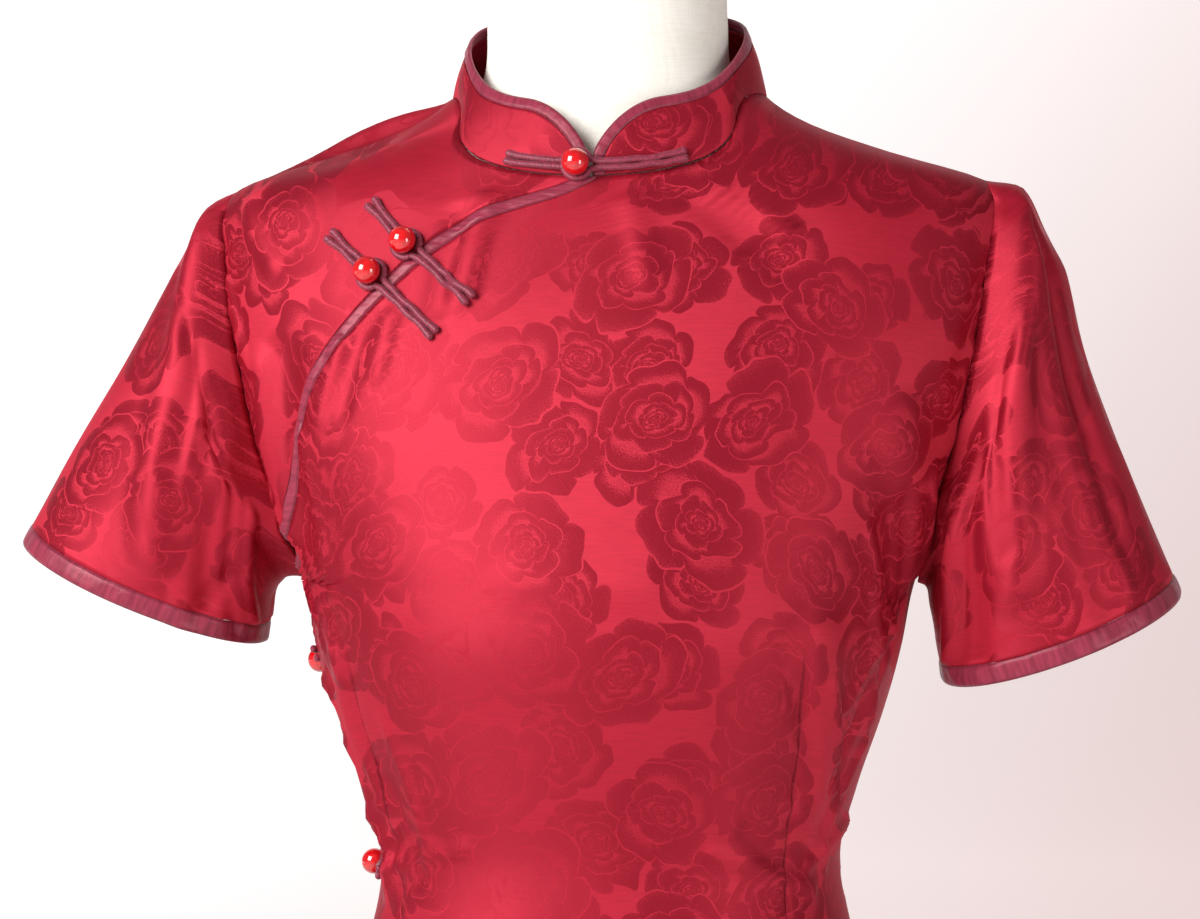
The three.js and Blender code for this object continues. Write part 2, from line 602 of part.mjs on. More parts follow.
function sleeve({ side, drop: cuffDrop, rings, folds }) {
  const column = Object.fromEntries(
    ["outerX", "outerZ", "innerX", "innerZ", "front", "back"].map((name) => [name, curve(rings, name, "along")]),
  );
  const ring = (turn, along) => {
    const cosine = Math.cos(turn * RAD);
    const sine = Math.sin(turn * RAD);
    const depth = sine > 0 ? column.front(along) : column.back(along);
    const drop = cuffDrop * Math.max(0, sine) * smooth((along - 0.3) / 0.7);
    return new THREE.Vector3(
      side * (lerp(column.innerX(along), column.outerX(along), (1 + cosine) / 2) + 0.4 * drop),
      3 - depth * sine,
      lerp(column.innerZ(along), column.outerZ(along), (1 + cosine) / 2) - 0.92 * drop,
    );
  };
  const armhole = (turn) => {
    const level = lerp(ARMPIT, SHOULDER_TIP, (1 + Math.cos(turn * RAD)) / 2);
    const face = Math.sin(turn * RAD) > 0 ? "front" : "back";
    const edge = edgeTurn(face, level);
    const at = smoothBody(face === "front" ? edge : 180 - edge, level);
    at.x += 1.8 * ((1 - Math.cos(turn * RAD)) / 2) ** 4;
    return at.setX(side * at.x);
  };
  const plain = (turn, along) => {
    const shift = armhole(turn).sub(ring(turn, 0));
    return ring(turn, along).addScaledVector(shift, 1 - smooth(along / 0.3));
  };
  const point = (turn, along) => {
    const lift = foldHeight(folds.map((fold) => ({ ...fold, from: [fold.from[0], fold.from[1] * 160], to: [fold.to[0], fold.to[1] * 160] })), turn, along * 160, 1);
    if (lift === 0) return plain(turn, along);
    const normal = normalOf(plain, turn, along, 0.5, 0.005);
    return plain(turn, along).addScaledVector(normal, -side * lift * smooth(along / 0.15) * smooth((1.12 - along) / 0.2));
  };
  const cuff = (turn, inset) => {
    const edge = point(turn, 1);
    const along = solve((a) => point(turn, a).distanceTo(edge), inset, 1, 0.3);
    return along;
  };
  return { point, cuff, start: (turn) => 0.0085 - 0.004 * Math.cos(turn * RAD) };
}

const sleeves = { left: sleeve(LEFT_SLEEVE), right: sleeve(RIGHT_SLEEVE) };
for (const [side, { point, cuff, start }] of Object.entries(sleeves)) {
  const turns = steps(0, 360, 24).slice(0, 24);
  sheet(`sleeve_${side}`, "satin", {
    across: turns,
    along: [0, 0.06, 0.16, 0.3, 0.46, 0.63, 0.81, 1],
    closed: true,
    point: (turn, t) => point(turn, lerp(start(turn), cuff(turn, HEM_BINDING + 2 * SEAM), t)),
  });
  sheet(`sleeve_binding_${side}`, "binding", {
    across: turns,
    along: [0, 0.2, 0.8, 1],
    closed: true,
    point: (turn, share) => {
      const from = cuff(turn, HEM_BINDING);
      return point(turn, lerp(from, 1, share));
    },
    wall: (turn, share) => bindingWall(share),
  });
}

// ---------------------------------------------------------------- collar

const neckline = (turn) =>
  Math.cos(turn * RAD) > 0
    ? smoothBody(turn, rowHeight("front", SIDE_NECK, turn))
    : smoothBody(turn, rowHeight("back", SIDE_NECK, 180 - turn));
const collarHeight = curve(COLLAR_TOP, "z", "turn");
const collarTop = (turn) =>
  new THREE.Vector3(67.5 * Math.sin(turn * RAD), -9 - 52.5 * Math.cos(turn * RAD), collarHeight(turn));
// Half of a closed line, measured from the centre front: its length, and its turn at a share of the length.
function measured(line) {
  const count = 720;
  const rows = [[0, 0]];
  for (let i = 1; i <= count; i += 1) {
    const turn = (180 * i) / count;
    rows.push([rows[i - 1][0] + line(turn).distanceTo(line((180 * (i - 1)) / count)), turn]);
  }
  const total = rows[count][0];
  const turnAt = (share) => {
    let [low, high] = [0, count];
    while (high - low > 1) {
      const middle = (low + high) >> 1;
      if (rows[middle][0] < share * total) low = middle;
      else high = middle;
    }
    return lerp(rows[low][1], rows[high][1], (share * total - rows[low][0]) / (rows[high][0] - rows[low][0]));
  };
  return { total, turnAt };
}
const baseLine = measured(neckline);
const topLine = measured(collarTop);
const neckHalf = baseLine.total;
// A place on the collar: length along the neckline from the centre front, and height above it.
const collarPoint = (length, height) => {
  const share = Math.abs(length) / neckHalf;
  const side = length < 0 ? -1 : 1;
  const base = neckline(baseLine.turnAt(share));
  const topTurn = topLine.turnAt(share);
  const up = collarTop(topTurn).sub(base);
  const t = height / up.length();
  const out = new THREE.Vector3(Math.sin(topTurn * RAD), -Math.cos(topTurn * RAD), 0);
  const at = base.addScaledVector(up, t).addScaledVector(out, 5 * t * (1 - t));
  return at.setX(side * at.x);
};
const collarFull = (length) =>
  collarTop(topLine.turnAt(length / neckHalf)).distanceTo(neckline(baseLine.turnAt(length / neckHalf)));
const COLLAR_END = 10; // height of the collar's front ends
const collarEdge = (length) => {
  const t = clamp((length - COLLAR_GAP) / COLLAR_CORNER);
  return lerp(COLLAR_END, collarFull(length), (1 - (1 - t) ** 2) ** 0.7);
};
// Outline of one half of the collar, from the bottom of its front end to the centre back, as [length, height].
const collarOutline = [];
for (const h of steps(0.6, COLLAR_END, 4)) collarOutline.push([COLLAR_GAP, h]);
for (const t of steps(0, 1, 24).slice(1)) collarOutline.push([COLLAR_GAP + COLLAR_CORNER * t ** 2, collarEdge(COLLAR_GAP + COLLAR_CORNER * t ** 2)]);
for (const t of steps(0, 1, 22).slice(1)) {
  const length = lerp(COLLAR_GAP + COLLAR_CORNER, neckHalf, t);
  collarOutline.push([length, collarEdge(length)]);
}
const inward = collarOutline.map(([x, y], i) => {
  const [ax, ay] = collarOutline[Math.max(0, i - 1)];
  const [bx, by] = collarOutline[Math.min(collarOutline.length - 1, i + 1)];
  const length = Math.hypot(bx - ax, by - ay);
  if (i === collarOutline.length - 1) return [0, -1];
  return i === 0 ? [1, 0] : [(by - ay) / length, -(bx - ax) / length];
});
const outlineAt = (index, inset) => {
  const i = Math.min(collarOutline.length - 2, Math.max(0, Math.floor(index)));
  const t = index - i;
  const at = (k) => [collarOutline[k][0] + inward[k][0] * inset, collarOutline[k][1] + inward[k][1] * inset];
  const [a, b] = [at(i), at(i + 1)];
  return [lerp(a[0], b[0], t), lerp(a[1], b[1], t)];
};
const innerOutline = collarOutline.map((_, i) => outlineAt(i, EDGE_BINDING + SEAM));
const last = collarOutline.length - 1;
const collarRows = [0, 2, 4, 7, 10, 13, 17, 21, 25, 28, 30, 32, 33, 34, 35, 36, 37, 39, 41, 44, 47, last];
// Columns of the collar, from one front end round the back to the other, counted from the centre back.
const collarColumns = (rows) => [...rows.map((i) => i - last), ...rows.slice(0, -1).reverse().map((i) => last - i)];
sheet("collar_binding", "binding", {
  across: [0, 0.2, 0.8, 1],
  along: collarColumns(collarRows),
  point: (share, t) => {
    const [length, height] = outlineAt(last - Math.abs(t), share * EDGE_BINDING);
    return collarPoint(length * (t < 0 ? -1 : 1), height);
  },
  wall: bindingWall,
});
sheet("collar", "satin", {
  across: [0, 0.35, 0.7, 1],
  along: collarColumns(collarRows.slice(2)),
  point: (share, t) => {
    const [length, height] = outlineAt(last - Math.abs(t), EDGE_BINDING + SEAM);
    return collarPoint(length * (t < 0 ? -1 : 1), lerp(1.2, height, share));
  },
});

// ---------------------------------------------------------------- frogs

function beadOn(name, at, normal, height) {
  const centre = at.clone().addScaledVector(normal, height);
  const a = new THREE.Vector3(0, 0, 1).cross(normal).normalize();
  const b = normal.clone().cross(a);
  const rings = steps(0, 1, 7).slice(1, 7).map((t) => {
    const r = (BEAD / 2) * Math.sin(t * Math.PI);
    const up = -(BEAD / 2) * Math.cos(t * Math.PI);
    return steps(0, 360, 12).slice(0, 12).map((turn) => centre.clone().addScaledVector(normal, up)
      .addScaledVector(a, r * Math.cos(turn * RAD)).addScaledVector(b, r * Math.sin(turn * RAD)));
  });
  solidRings(name, "bead", rings, centre.clone().addScaledVector(normal, -BEAD / 2), centre.clone().addScaledVector(normal, BEAD / 2));
}

const CORD_PROFILE = [[-0.5, 0.1], [-0.5, 0.65], [-0.28, 1], [0, 0.6], [0.28, 1], [0.5, 0.65], [0.5, 0.1], [0, 0]];
function strip(name, frames) {
  const rings = frames.map(({ at, normal, along, lift, width }) => {
    const sideways = normal.clone().cross(along).normalize();
    return CORD_PROFILE.map(([x, y]) => at.clone().addScaledVector(sideways, x * width).addScaledVector(normal, lift + y * STRIP_HEIGHT));
  });
  const middle = (ring) => ring[0].clone().lerp(ring[5], 0.5);
  solidRings(name, "binding", rings, middle(rings[0]), middle(rings[rings.length - 1]));
}

// A frog on a chart of the cloth: from one end, under the bead, to the other end.
function frog({ name, bead, button, loop, lifted }, place) {
  const normalAt = (x, y) => {
    const n = normalOf(place, x, y, 0.4, 0.4);
    return n.dot(new THREE.Vector3(place(x, y).x, place(x, y).y, 0)) < 0 ? n.negate() : n;
  };
  const at = place(bead[0], bead[1]);
  beadOn(`${name}_bead`, at, normalAt(bead[0], bead[1]), BEAD / 2 + STRIP_LIFT);
  for (const [part, end] of [["button", button], ["loop", loop]]) {
    const far = place(end[0], end[1]);
    const length = far.distanceTo(at);
    const shares = [5.6 / length, 0.28, 0.4, 0.52, 0.64, 0.76, 0.88, 1];
    const where = (t) => place(lerp(bead[0], end[0], t), lerp(bead[1], end[1], t));
    strip(`${name}_${part}_strip`, shares.map((t) => ({
      at: where(t),
      normal: normalAt(lerp(bead[0], end[0], t), lerp(bead[1], end[1], t)),
      along: where(t + 0.02).sub(where(t - 0.02)).normalize(),
      lift: lerp(1.25, STRIP_LIFT, part === "loop" || lifted ? 1 - smooth((t * length - (lifted ? 60 : 15)) / 6) : 0),
      width: STRIP_WIDTH * (1 + 0.35 * smooth((t - 0.85) / 0.15)),
    })));
  }
}

const frontChart = (x, z) => body(Math.sign(x) * solve((turn) => smoothBody(turn, z).x, Math.abs(x), 0, 89), z);
const sideChart = (x, z) => body(x / 2.3, z);
for (const entry of FRONT_FROGS) {
  if (entry.name === "collar_frog") frog({ ...entry, lifted: true }, collarPoint);
  else frog(entry, frontChart);
}
for (const { name, z, bead, at } of SIDE_FROGS) {
  frog({ name, bead: [at * 2.3, (z + bead) / 2], button: [at * 2.3 - 34, z], loop: [at * 2.3 + 34, z] }, sideChart);
}

// ---------------------------------------------------------------- dress form and stand

{
  const form = loft(FORM_SECTIONS);
  const turns = steps(-180, 180, 26).slice(0, 26);
  const heights = FORM_SECTIONS.map(({ z }) => z);
  const rings = heights.map((z) => turns.map((turn) => form(turn, z)));
  solidRings("dress_form", "linen", rings, new THREE.Vector3(0, 3, FORM_BOTTOM), new THREE.Vector3(0, -14, 1510.5));
}

const round = (radius, z, count) =>
  steps(0, 360, count).slice(0, count).map((turn) => new THREE.Vector3(radius * Math.cos(turn * RAD), radius * Math.sin(turn * RAD), z));
solidRings("stand_pole", "steel", [BASE_DOME + SEAM, FORM_BOTTOM - SEAM].map((z) => round(POLE_RADIUS, z, 20)),
  new THREE.Vector3(0, 0, BASE_DOME + SEAM), new THREE.Vector3(0, 0, FORM_BOTTOM - SEAM));
solidRings("stand_base", "steel",
  [[187, 0], [190, 2.5], [190, 6.5], [187.5, 9], [120, 13], [60, 18], [34, 23], [24, 26]].map(([radius, z]) => round(radius, z, 36)),
  new THREE.Vector3(0, 0, 0), new THREE.Vector3(0, 0, BASE_DOME));

group.position.x = WORN_TO_RIGHT;

export default group;
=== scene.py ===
"""A cheongsam in red figured satin, buttoned on a linen-covered dress form with a round stand."""

import json
import math

import bpy
import numpy as np
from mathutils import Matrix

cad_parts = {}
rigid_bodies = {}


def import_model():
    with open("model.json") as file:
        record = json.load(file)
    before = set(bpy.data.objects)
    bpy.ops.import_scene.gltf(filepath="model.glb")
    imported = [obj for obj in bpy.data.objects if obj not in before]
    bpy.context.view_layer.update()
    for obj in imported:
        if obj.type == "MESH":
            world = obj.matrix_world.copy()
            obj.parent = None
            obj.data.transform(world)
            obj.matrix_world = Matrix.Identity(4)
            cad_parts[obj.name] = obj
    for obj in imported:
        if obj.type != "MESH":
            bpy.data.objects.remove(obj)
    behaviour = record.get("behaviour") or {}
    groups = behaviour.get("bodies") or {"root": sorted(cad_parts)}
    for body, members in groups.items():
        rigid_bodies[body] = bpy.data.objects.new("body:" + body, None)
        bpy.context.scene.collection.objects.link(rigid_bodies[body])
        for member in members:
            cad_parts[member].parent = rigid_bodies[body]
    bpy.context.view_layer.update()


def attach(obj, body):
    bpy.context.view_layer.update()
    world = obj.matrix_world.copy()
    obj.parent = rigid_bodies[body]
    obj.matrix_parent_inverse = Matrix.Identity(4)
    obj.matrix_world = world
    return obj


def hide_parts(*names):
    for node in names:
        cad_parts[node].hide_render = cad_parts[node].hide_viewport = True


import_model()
ROW_SPACING = 3.6
CORD_SIDES = 14
BINDING_ACROSS = 13


def count(number):
    return max(6, int(number * (1.0)))


# ------------------------------------------------------------------ camera

AZIMUTH, DISTANCE = math.radians(8), 1.7  # round to the wearer's left, level with the chest
aim = (0.010 - 0.005 * math.cos(AZIMUTH), -0.005 * math.sin(AZIMUTH), 1.245)
lens = bpy.data.cameras.new("camera")
lens.sensor_width, lens.lens = 36.0, 103.5
lens.clip_start, lens.clip_end = 0.05, 30.0
camera = bpy.data.objects.new("camera", lens)
camera.location = (aim[0] + DISTANCE * math.sin(AZIMUTH), aim[1] - DISTANCE * math.cos(AZIMUTH), aim[2])
camera.rotation_euler = (math.pi / 2, 0, AZIMUTH)
bpy.context.scene.collection.objects.link(camera)
bpy.context.scene.camera = camera
bpy.context.scene.view_settings.view_transform = "Standard"

# ------------------------------------------------------------------ measures, in millimetres

MILLIMETRE = 0.001
CENTRE_X = 10.0  # the wearer's centre line, in the part's frame
CLOTH, BINDING = 1.2, 2.4
EDGE_BINDING, HEM_BINDING = 6.0, 10.0
HEM, SLIT_TOP, ARMPIT = 362.0, 700.0, 1186.0
SHOULDER_TIP, SIDE_NECK = 1380.0, 1422.0
FRONT_NECK, BACK_NECK = 1379.0, 1436.0
NECK_LEVEL = SIDE_NECK - 0.2
BUST_TOP = 1290.0
NECK_SCOOP, SLIT_GAP = 1.8, 7.0
COLLAR_GAP, COLLAR_CORNER, COLLAR_END = 1.2, 40.0, 10.0
COLLAR_WIDE, COLLAR_DEEP, COLLAR_SIDE = 67.5, 52.5, -9.0
CUFF_DROPS = {"right": 6.0, "left": 11.0}
# what is left free at each seam: the armholes, the sides, and beside and above the bindings
ARM_TRIM, SIDE_TRIM, BINDING_CLEAR, HEM_CLEAR = 0.2, 0.12, 0.15, 0.3
BEAD, CORD = 13.0, 3.2
LOOP_REACH = BEAD / 2 + CORD * 0.1
STRIP_FOOT, STRIP_LIFT = 0.95, 1.7  # under a strip, over the cloth's middle, on cloth and on a binding
FORM_TOP = 1510.5


def table(names, rows):
    values = np.array(rows, float)
    return {name: values[:, i] for i, name in enumerate(names.split())}


BODY = table("z wide side front back square", [
    (350, 169, 2, 88, 92, 2.5), (480, 169, 2, 92, 96, 2.5), (640, 170, 3, 100, 104, 2.4),
    (840, 168, 4, 110, 112, 2.35), (950, 142, 4, 100, 96, 2.3), (1000, 122, 4, 92, 82, 2.25),
    (1050, 112.5, 3, 88, 76, 2.2), (1085, 120.5, 2, 98, 81, 2.2), (1120, 132.5, 1, 112, 89, 2.2),
    (1155, 142, 0, 123, 96, 2.2), (1186, 149, 0, 122, 100, 2.2), (1215, 161, 1, 118, 103, 2.2),
    (1255, 177, 1, 111, 106, 2.2), (1300, 191, 2, 102, 105, 2.15), (1340, 198, 3, 89, 99, 2.1),
    (1365, 198, 4, 80, 91, 2.05), (1380, 184, 4, 73, 84, 2), (1394, 138, 2, 66, 77, 2),
    (1408, 99, 0, 59, 69, 2), (1422, 77, -3, 52, 63, 2), (1436, 70, -4, 50, 57, 2)])
ARMHOLE = table("z front back", [
    (1186, 149, 149), (1200, 153.4, 153.4), (1215, 157.5, 157.5), (1250, 169, 168.5),
    (1300, 179.5, 178), (1345, 186.5, 185.5), (1368, 188.6, 188.4), (1380, 184, 184)])
COLLAR_TOP = table("turn z", [
    (0, 1416), (26, 1417.5), (40, 1420.5), (52, 1425.5), (65, 1434), (78, 1443.5), (92, 1452),
    (110, 1460), (135, 1466), (180, 1470)])
PLACKET = [
    (6, 1384), (-1, 1378.5), (-14, 1372), (-40, 1364), (-56, 1357), (-75, 1345), (-102, 1321),
    (-124, 1296), (-136, 1278), (-144, 1252), (-147.5, 1228), (-149.5, 1206), (-150.3, 1194),
    (-149.2, 1186)]
FRONT_ROWS = table("z centre", [
    (350, 350), (1130, 1130), (1186, 1185), (1250, 1243), (1300, 1286), (1345, 1321),
    (1380, 1346), (1422, FRONT_NECK), (1436, FRONT_NECK + 11)])
BACK_ROWS = table("z centre", [
    (350, 350), (1130, 1130), (1186, 1187), (1300, 1304), (1380, 1388), (1422, BACK_NECK),
    (1436, BACK_NECK + 16)])
FORM = table("z wide side front back square", [
    (770, 158, 4, 99, 101, 2.3), (850, 162, 4, 105, 107, 2.3), (950, 137, 4, 95, 91, 2.25),
    (1000, 117, 4, 87, 77, 2.2), (1050, 107.5, 3, 83, 70, 2.15), (1085, 113, 2, 92, 76, 2.15),
    (1120, 124, 1, 107, 84, 2.15), (1155, 135, 0, 118, 91, 2.1), (1190, 142, 0, 117, 95, 2.1),
    (1250, 158, 1, 106, 101, 2.1), (1300, 169, 2, 96, 99, 2.1), (1345, 175, 3, 82, 91, 2.05),
    (1366, 176, 3, 74, 83, 2), (1379, 170, 3, 67, 78, 2), (1391, 134, 2, 61, 72, 2),
    (1405, 94, -1, 54, 64, 2), (1417, 73, -4, 48, 56, 2), (1432, 61.5, -7, 45, 49, 2),
    (1460, 59, -10, 45, 45, 2), (1490, 58, -13, 45, 45, 2), (1503, 51, -14, 40, 40, 2),
    (1509, 38, -14, 30, 30, 2)])
SLEEVE_COLUMNS = "along outer_x outer_z inner_x inner_z front back"
RIGHT_SLEEVE = table(SLEEVE_COLUMNS, [
    (0, 185, 1380, 150, 1186, 44, 48), (0.06, 202, 1372, 157, 1187.5, 49, 52),
    (0.2, 216, 1345, 165, 1186.5, 52, 55), (0.5, 245, 1294, 171, 1178, 51, 53),
    (0.75, 272, 1249, 173, 1167, 48, 49), (1, 297.5, 1205, 175, 1154, 45, 45)])
LEFT_SLEEVE = table(SLEEVE_COLUMNS, [
    (0, 185, 1380, 150, 1186, 44, 48), (0.06, 204, 1376, 154.5, 1184, 50, 53),
    (0.2, 219, 1345, 157, 1178, 54, 57), (0.5, 233, 1291, 159, 1164, 53, 55),
    (0.75, 252, 1240, 161, 1152, 50, 50), (1, 277, 1181, 163, 1138, 47, 46)])

# Frogs: where the bead, the button's strip and the loop's strip end, across and up. The collar's are
# lengths round it from centre front and heights over its seam.
COLLAR_FROG = ((-6, 5.5), (-41, 5), (46, 4))
CHEST_FROGS = [("chest_frog", (-86, 1346), (-106, 1367), (-53.5, 1319.5)),
               ("yoke_frog", (-102.5, 1332), (-126, 1352), (-70, 1303.5))]
# Side frogs: the heights of the strips' ends and, midway to the second figure, of the bead.
SIDE_FROGS = [("side_frog_bust", 1151, 1143), ("side_frog_waist", 1041, 1046),
              ("side_frog_high_hip", 940, 942), ("side_frog_hip", 840, 842)]
SIDE_AT, SIDE_HALF = -95.0, 34.0  # degrees round from centre front, and the length of a strip

# Roses of two sizes: how far apart, how large, both in metres, and which scatter.
LARGE_ROSES, SMALL_ROSES = (0.063, 0.0222, 1.0), (0.049, 0.0172, 2.0)
PETALS = 5.0

# A fold runs between two places (degrees round from centre front, height): width on each side, height.
FOLDS = [
    ((-96, 1403), (-84, 1403), 13, 9), ((-58, 1290), (-66, 1215), 9, 3),
    ((-50, 1292), (-57, 1215), 11, -3.5), ((52, 1262), (76, 1196), 11, 3),
    ((58, 1215), (70, 1180), 10, -3), ((48, 1160), (58, 1085), 12, 3.5),
    ((-58, 1150), (-62, 1040), 8, 3.5), ((-72, 1130), (-74, 1060), 10, -3),
    ((20, 1366), (27, 1335), 7, -2), ((150, 1085), (205, 1068), 14, 4),
    ((152, 1050), (208, 1042), 13, -3), ((-30, 700), (-38, 362), 26, 5),
    ((34, 640), (42, 362), 24, 5), ((4, 600), (2, 362), 34, -4), ((148, 720), (142, 362), 26, 6),
    ((212, 700), (220, 362), 26, 6), ((180, 660), (180, 362), 34, -4)]
# Small creases that only the cloth has.
CREASES = [
    # pulled from the underarm to the side fastenings
    ((-84, 1178), (-66, 1116), 5.5, 1.5), ((-77, 1136), (-71, 1076), 4.6, 1.6),
    ((-72, 1142), (-64, 1064), 4.6, -2.0), ((-64, 1130), (-61, 1052), 4.4, 1.5),
    ((-57, 1080), (-76, 1058), 4.6, 1.4), ((-53, 1064), (-70, 1046), 4.6, -1.6),
    ((-60, 1192), (-55, 1140), 4.6, 1.2), ((62, 1184), (74, 1120), 5, 1.6),
    ((70, 1150), (63, 1090), 4.6, -1.8), ((76, 1110), (66, 1062), 4.6, 1.4),
    # front, under the arms and along the sides
    ((-70, 1232), (-60, 1160), 4.5, 1.6), ((-76, 1215), (-66, 1150), 3.5, -1.3),
    ((-80, 1195), (-62, 1148), 4, 1.7), ((-84, 1178), (-70, 1132), 4, -1.5),
    ((-84, 1168), (-72, 1118), 3.5, 1.5), ((-50, 1255), (-54, 1180), 6, 1.2),
    ((-64, 1110), (-70, 1046), 4, 1.4), ((-50, 1090), (-46, 1045), 6, -1.4),
    ((-56, 1098), (-54, 1050), 4, 1.6), ((-44, 1118), (-42, 1062), 5, 1.1),
    ((66, 1240), (82, 1190), 3.5, 1.7), ((60, 1228), (78, 1176), 4, -1.6),
    ((54, 1210), (76, 1160), 4, 1.5), ((70, 1172), (60, 1128), 3.5, 1.6),
    ((76, 1160), (66, 1112), 4, -1.6), ((52, 1140), (66, 1088), 4, 1.6),
    ((58, 1128), (72, 1080), 4, -1.4), ((44, 1138), (54, 1100), 6, -1.5),
    ((50, 1082), (70, 1052), 4, 1.3), ((38, 1070), (54, 1046), 5, -1.2),
    ((30, 1060), (62, 1040), 4, 1.2), ((-30, 1062), (-64, 1044), 4, 1.2),
    # chest, below the frogs and the collar
    ((-33, 1305), (-38, 1268), 4, -1.3), ((-37, 1300), (-44, 1262), 3.5, 1.1),
    ((-28, 1312), (-31, 1284), 4, 1.0), ((-14, 1368), (-17, 1322), 5, 1.1),
    ((-18, 1362), (-21, 1316), 5, -1.1), ((14, 1368), (22, 1344), 3.5, -1.5),
    ((18, 1372), (28, 1352), 3, 1.2), ((6, 1366), (9, 1330), 5, 0.9),
    ((-62, 1372), (-52, 1340), 6, 1.2), ((66, 1330), (64, 1286), 7, -0.8),
    ((-68, 1330), (-63, 1290), 6, 1.0), ((-10, 1188), (12, 1186), 12, 0.8),
    # waist, seen from the sides
    ((84, 1070), (60, 1052), 4, 1.5), ((96, 1066), (120, 1050), 4.5, 1.6),
    ((-96, 1072), (-122, 1056), 4.5, 1.5), ((90, 1040), (112, 1026), 5, -1.3),
    # back
    ((120, 1250), (104, 1196), 6, 1.9), ((126, 1236), (110, 1180), 5, -1.6),
    ((240, 1254), (256, 1198), 6, 1.8), ((236, 1236), (252, 1176), 5, -1.6),
    ((140, 1096), (188, 1078), 6, 1.6), ((176, 1064), (222, 1052), 6, 1.8),
    ((136, 1060), (170, 1056), 5, -1.5), ((150, 1030), (200, 1020), 7, 1.4),
    ((168, 1330), (172, 1240), 16, 1.4), ((204, 1320), (200, 1230), 14, 1.2),
    # skirt
    ((-66, 830), (-58, 700), 12, 1.8), ((62, 800), (56, 650), 12, 1.7),
    ((-82, 720), (-62, 640), 8, 1.8), ((82, 716), (66, 640), 8, 1.7),
    ((104, 716), (122, 640), 8, 1.8), ((-104, 722), (-124, 650), 8, 1.7),
    ((-14, 900), (16, 884), 14, 1.2), ((-40, 955), (-8, 938), 10, 1.2),
    ((14, 950), (44, 962), 10, 1.2), ((160, 905), (204, 898), 10, 1.5)]
SLEEVE_FOLDS = {
    "right": [((20, 0.1), (-20, 0.14), 12, 2), ((60, 0.25), (95, 0.75), 11, -4),
              ((95, 0.15), (128, 0.8), 10, 4), ((-60, 0.2), (-90, 0.8), 12, -4),
              ((-100, 0.15), (-125, 0.8), 11, 3.5)],
    "left": [((20, 0.1), (-20, 0.14), 13, 3), ((32, 0.12), (44, 0.8), 9, 3),
             ((70, 0.2), (100, 0.7), 12, -4), ((110, 0.2), (135, 0.85), 10, 4),
             ((-60, 0.2), (-95, 0.75), 12, -4), ((-105, 0.2), (-130, 0.8), 11, 3.5)]}
SLEEVE_CREASES = {
    "right": [((118, 0.2), (150, 0.95), 5, 2.2), ((132, 0.12), (160, 0.8), 5, -2.2),
              ((104, 0.25), (120, 1.0), 6, -2), ((78, 0.12), (86, 0.5), 6, 1.4),
              ((140, 0.5), (122, 0.95), 5, 2), ((30, 0.1), (40, 0.4), 8, 1.1),
              ((-110, 0.2), (-145, 0.9), 5, 2), ((-124, 0.12), (-156, 0.8), 5, -2),
              ((-80, 0.1), (-88, 0.6), 7, 1.5), ((-30, 0.15), (-46, 0.7), 9, 1.4)],
    "left": [((28, 0.06), (36, 0.6), 4, 1.8), ((38, 0.1), (50, 0.9), 4, -1.6),
             ((118, 0.2), (150, 0.9), 5, 2.2), ((130, 0.12), (158, 0.8), 5, -2.2),
             ((88, 0.12), (98, 0.6), 6, 1.6), ((58, 0.3), (66, 0.95), 7, 1.4),
             ((-110, 0.2), (-145, 0.9), 5, 2), ((-124, 0.12), (-156, 0.8), 5, -2),
             ((-80, 0.1), (-88, 0.6), 7, 1.5), ((-30, 0.15), (-46, 0.7), 9, 1.4)]}
SLEEVE_SCALE = 160.0  # millimetres for a share of 1 along a sleeve, near enough for folds
PER_DEGREE = 2.3  # millimetres round the cloth for a degree, near enough for folds

# The two waist darts of the front and of the back: (degrees, height) down each line.
DARTS = {
    "front": [((43.5, 1163), (49, 1100), (52, 1050), (49, 1000), (40, 935)),
              ((-52.5, 1156), (-54, 1100), (-55, 1050), (-50, 1000), (-41, 935))],
    "back": [((146, 1150), (139, 1100), (136, 1050), (141, 1000), (149, 925)),
             ((214, 1150), (221, 1100), (224, 1050), (219, 1000), (211, 925))]}

# ------------------------------------------------------------------ small tools


def clamp(t):
    return np.clip(t, 0.0, 1.0)


def smooth(t):
    t = clamp(t)
    return t * t * (3 - 2 * t)


def lerp(a, b, t):
    return a + (b - a) * t


def curve(tab, column, over="z"):
    """A smooth curve through one column of a table."""
    x, y = tab[over], tab[column]
    last = len(x) - 1
    low = np.maximum(np.arange(last + 1) - 1, 0)
    high = np.minimum(np.arange(last + 1) + 1, last)
    slope = (y[high] - y[low]) / (x[high] - x[low])

    def at(where):
        where = np.asarray(where, float)
        i = np.clip(np.searchsorted(x, where, side="right") - 1, 0, last - 1)
        gap = x[i + 1] - x[i]
        free = (where - x[i]) / gap
        t = clamp(free)
        bend = t * t * (3 - 2 * t)
        value = lerp(y[i], y[i + 1], bend)
        value += gap * (slope[i] * t * (1 - t) ** 2 - slope[i + 1] * t * t * (1 - t))
        return value + np.where(free < 0, slope[i], slope[i + 1]) * (free - t) * gap

    return at


def solve(value, target, low, high):
    """Where a rising or falling function takes the target, by halving, on arrays."""
    target = np.asarray(target, float)
    low = np.zeros_like(target) + low
    high = np.zeros_like(target) + high
    rising = value(high) > value(low)
    for _ in range(34):
        middle = (low + high) / 2
        under = (value(middle) < target) == rising
        low, high = np.where(under, middle, low), np.where(under, high, middle)
    return (low + high) / 2


def sind(turn):
    return np.sin(np.radians(turn))


def cosd(turn):
    return np.cos(np.radians(turn))


def stack(x, y, z):
    return np.stack(np.broadcast_arrays(x, y, z), -1).astype(float)


def unit(v):
    return v / np.maximum(np.linalg.norm(v, axis=-1, keepdims=True), 1e-9)


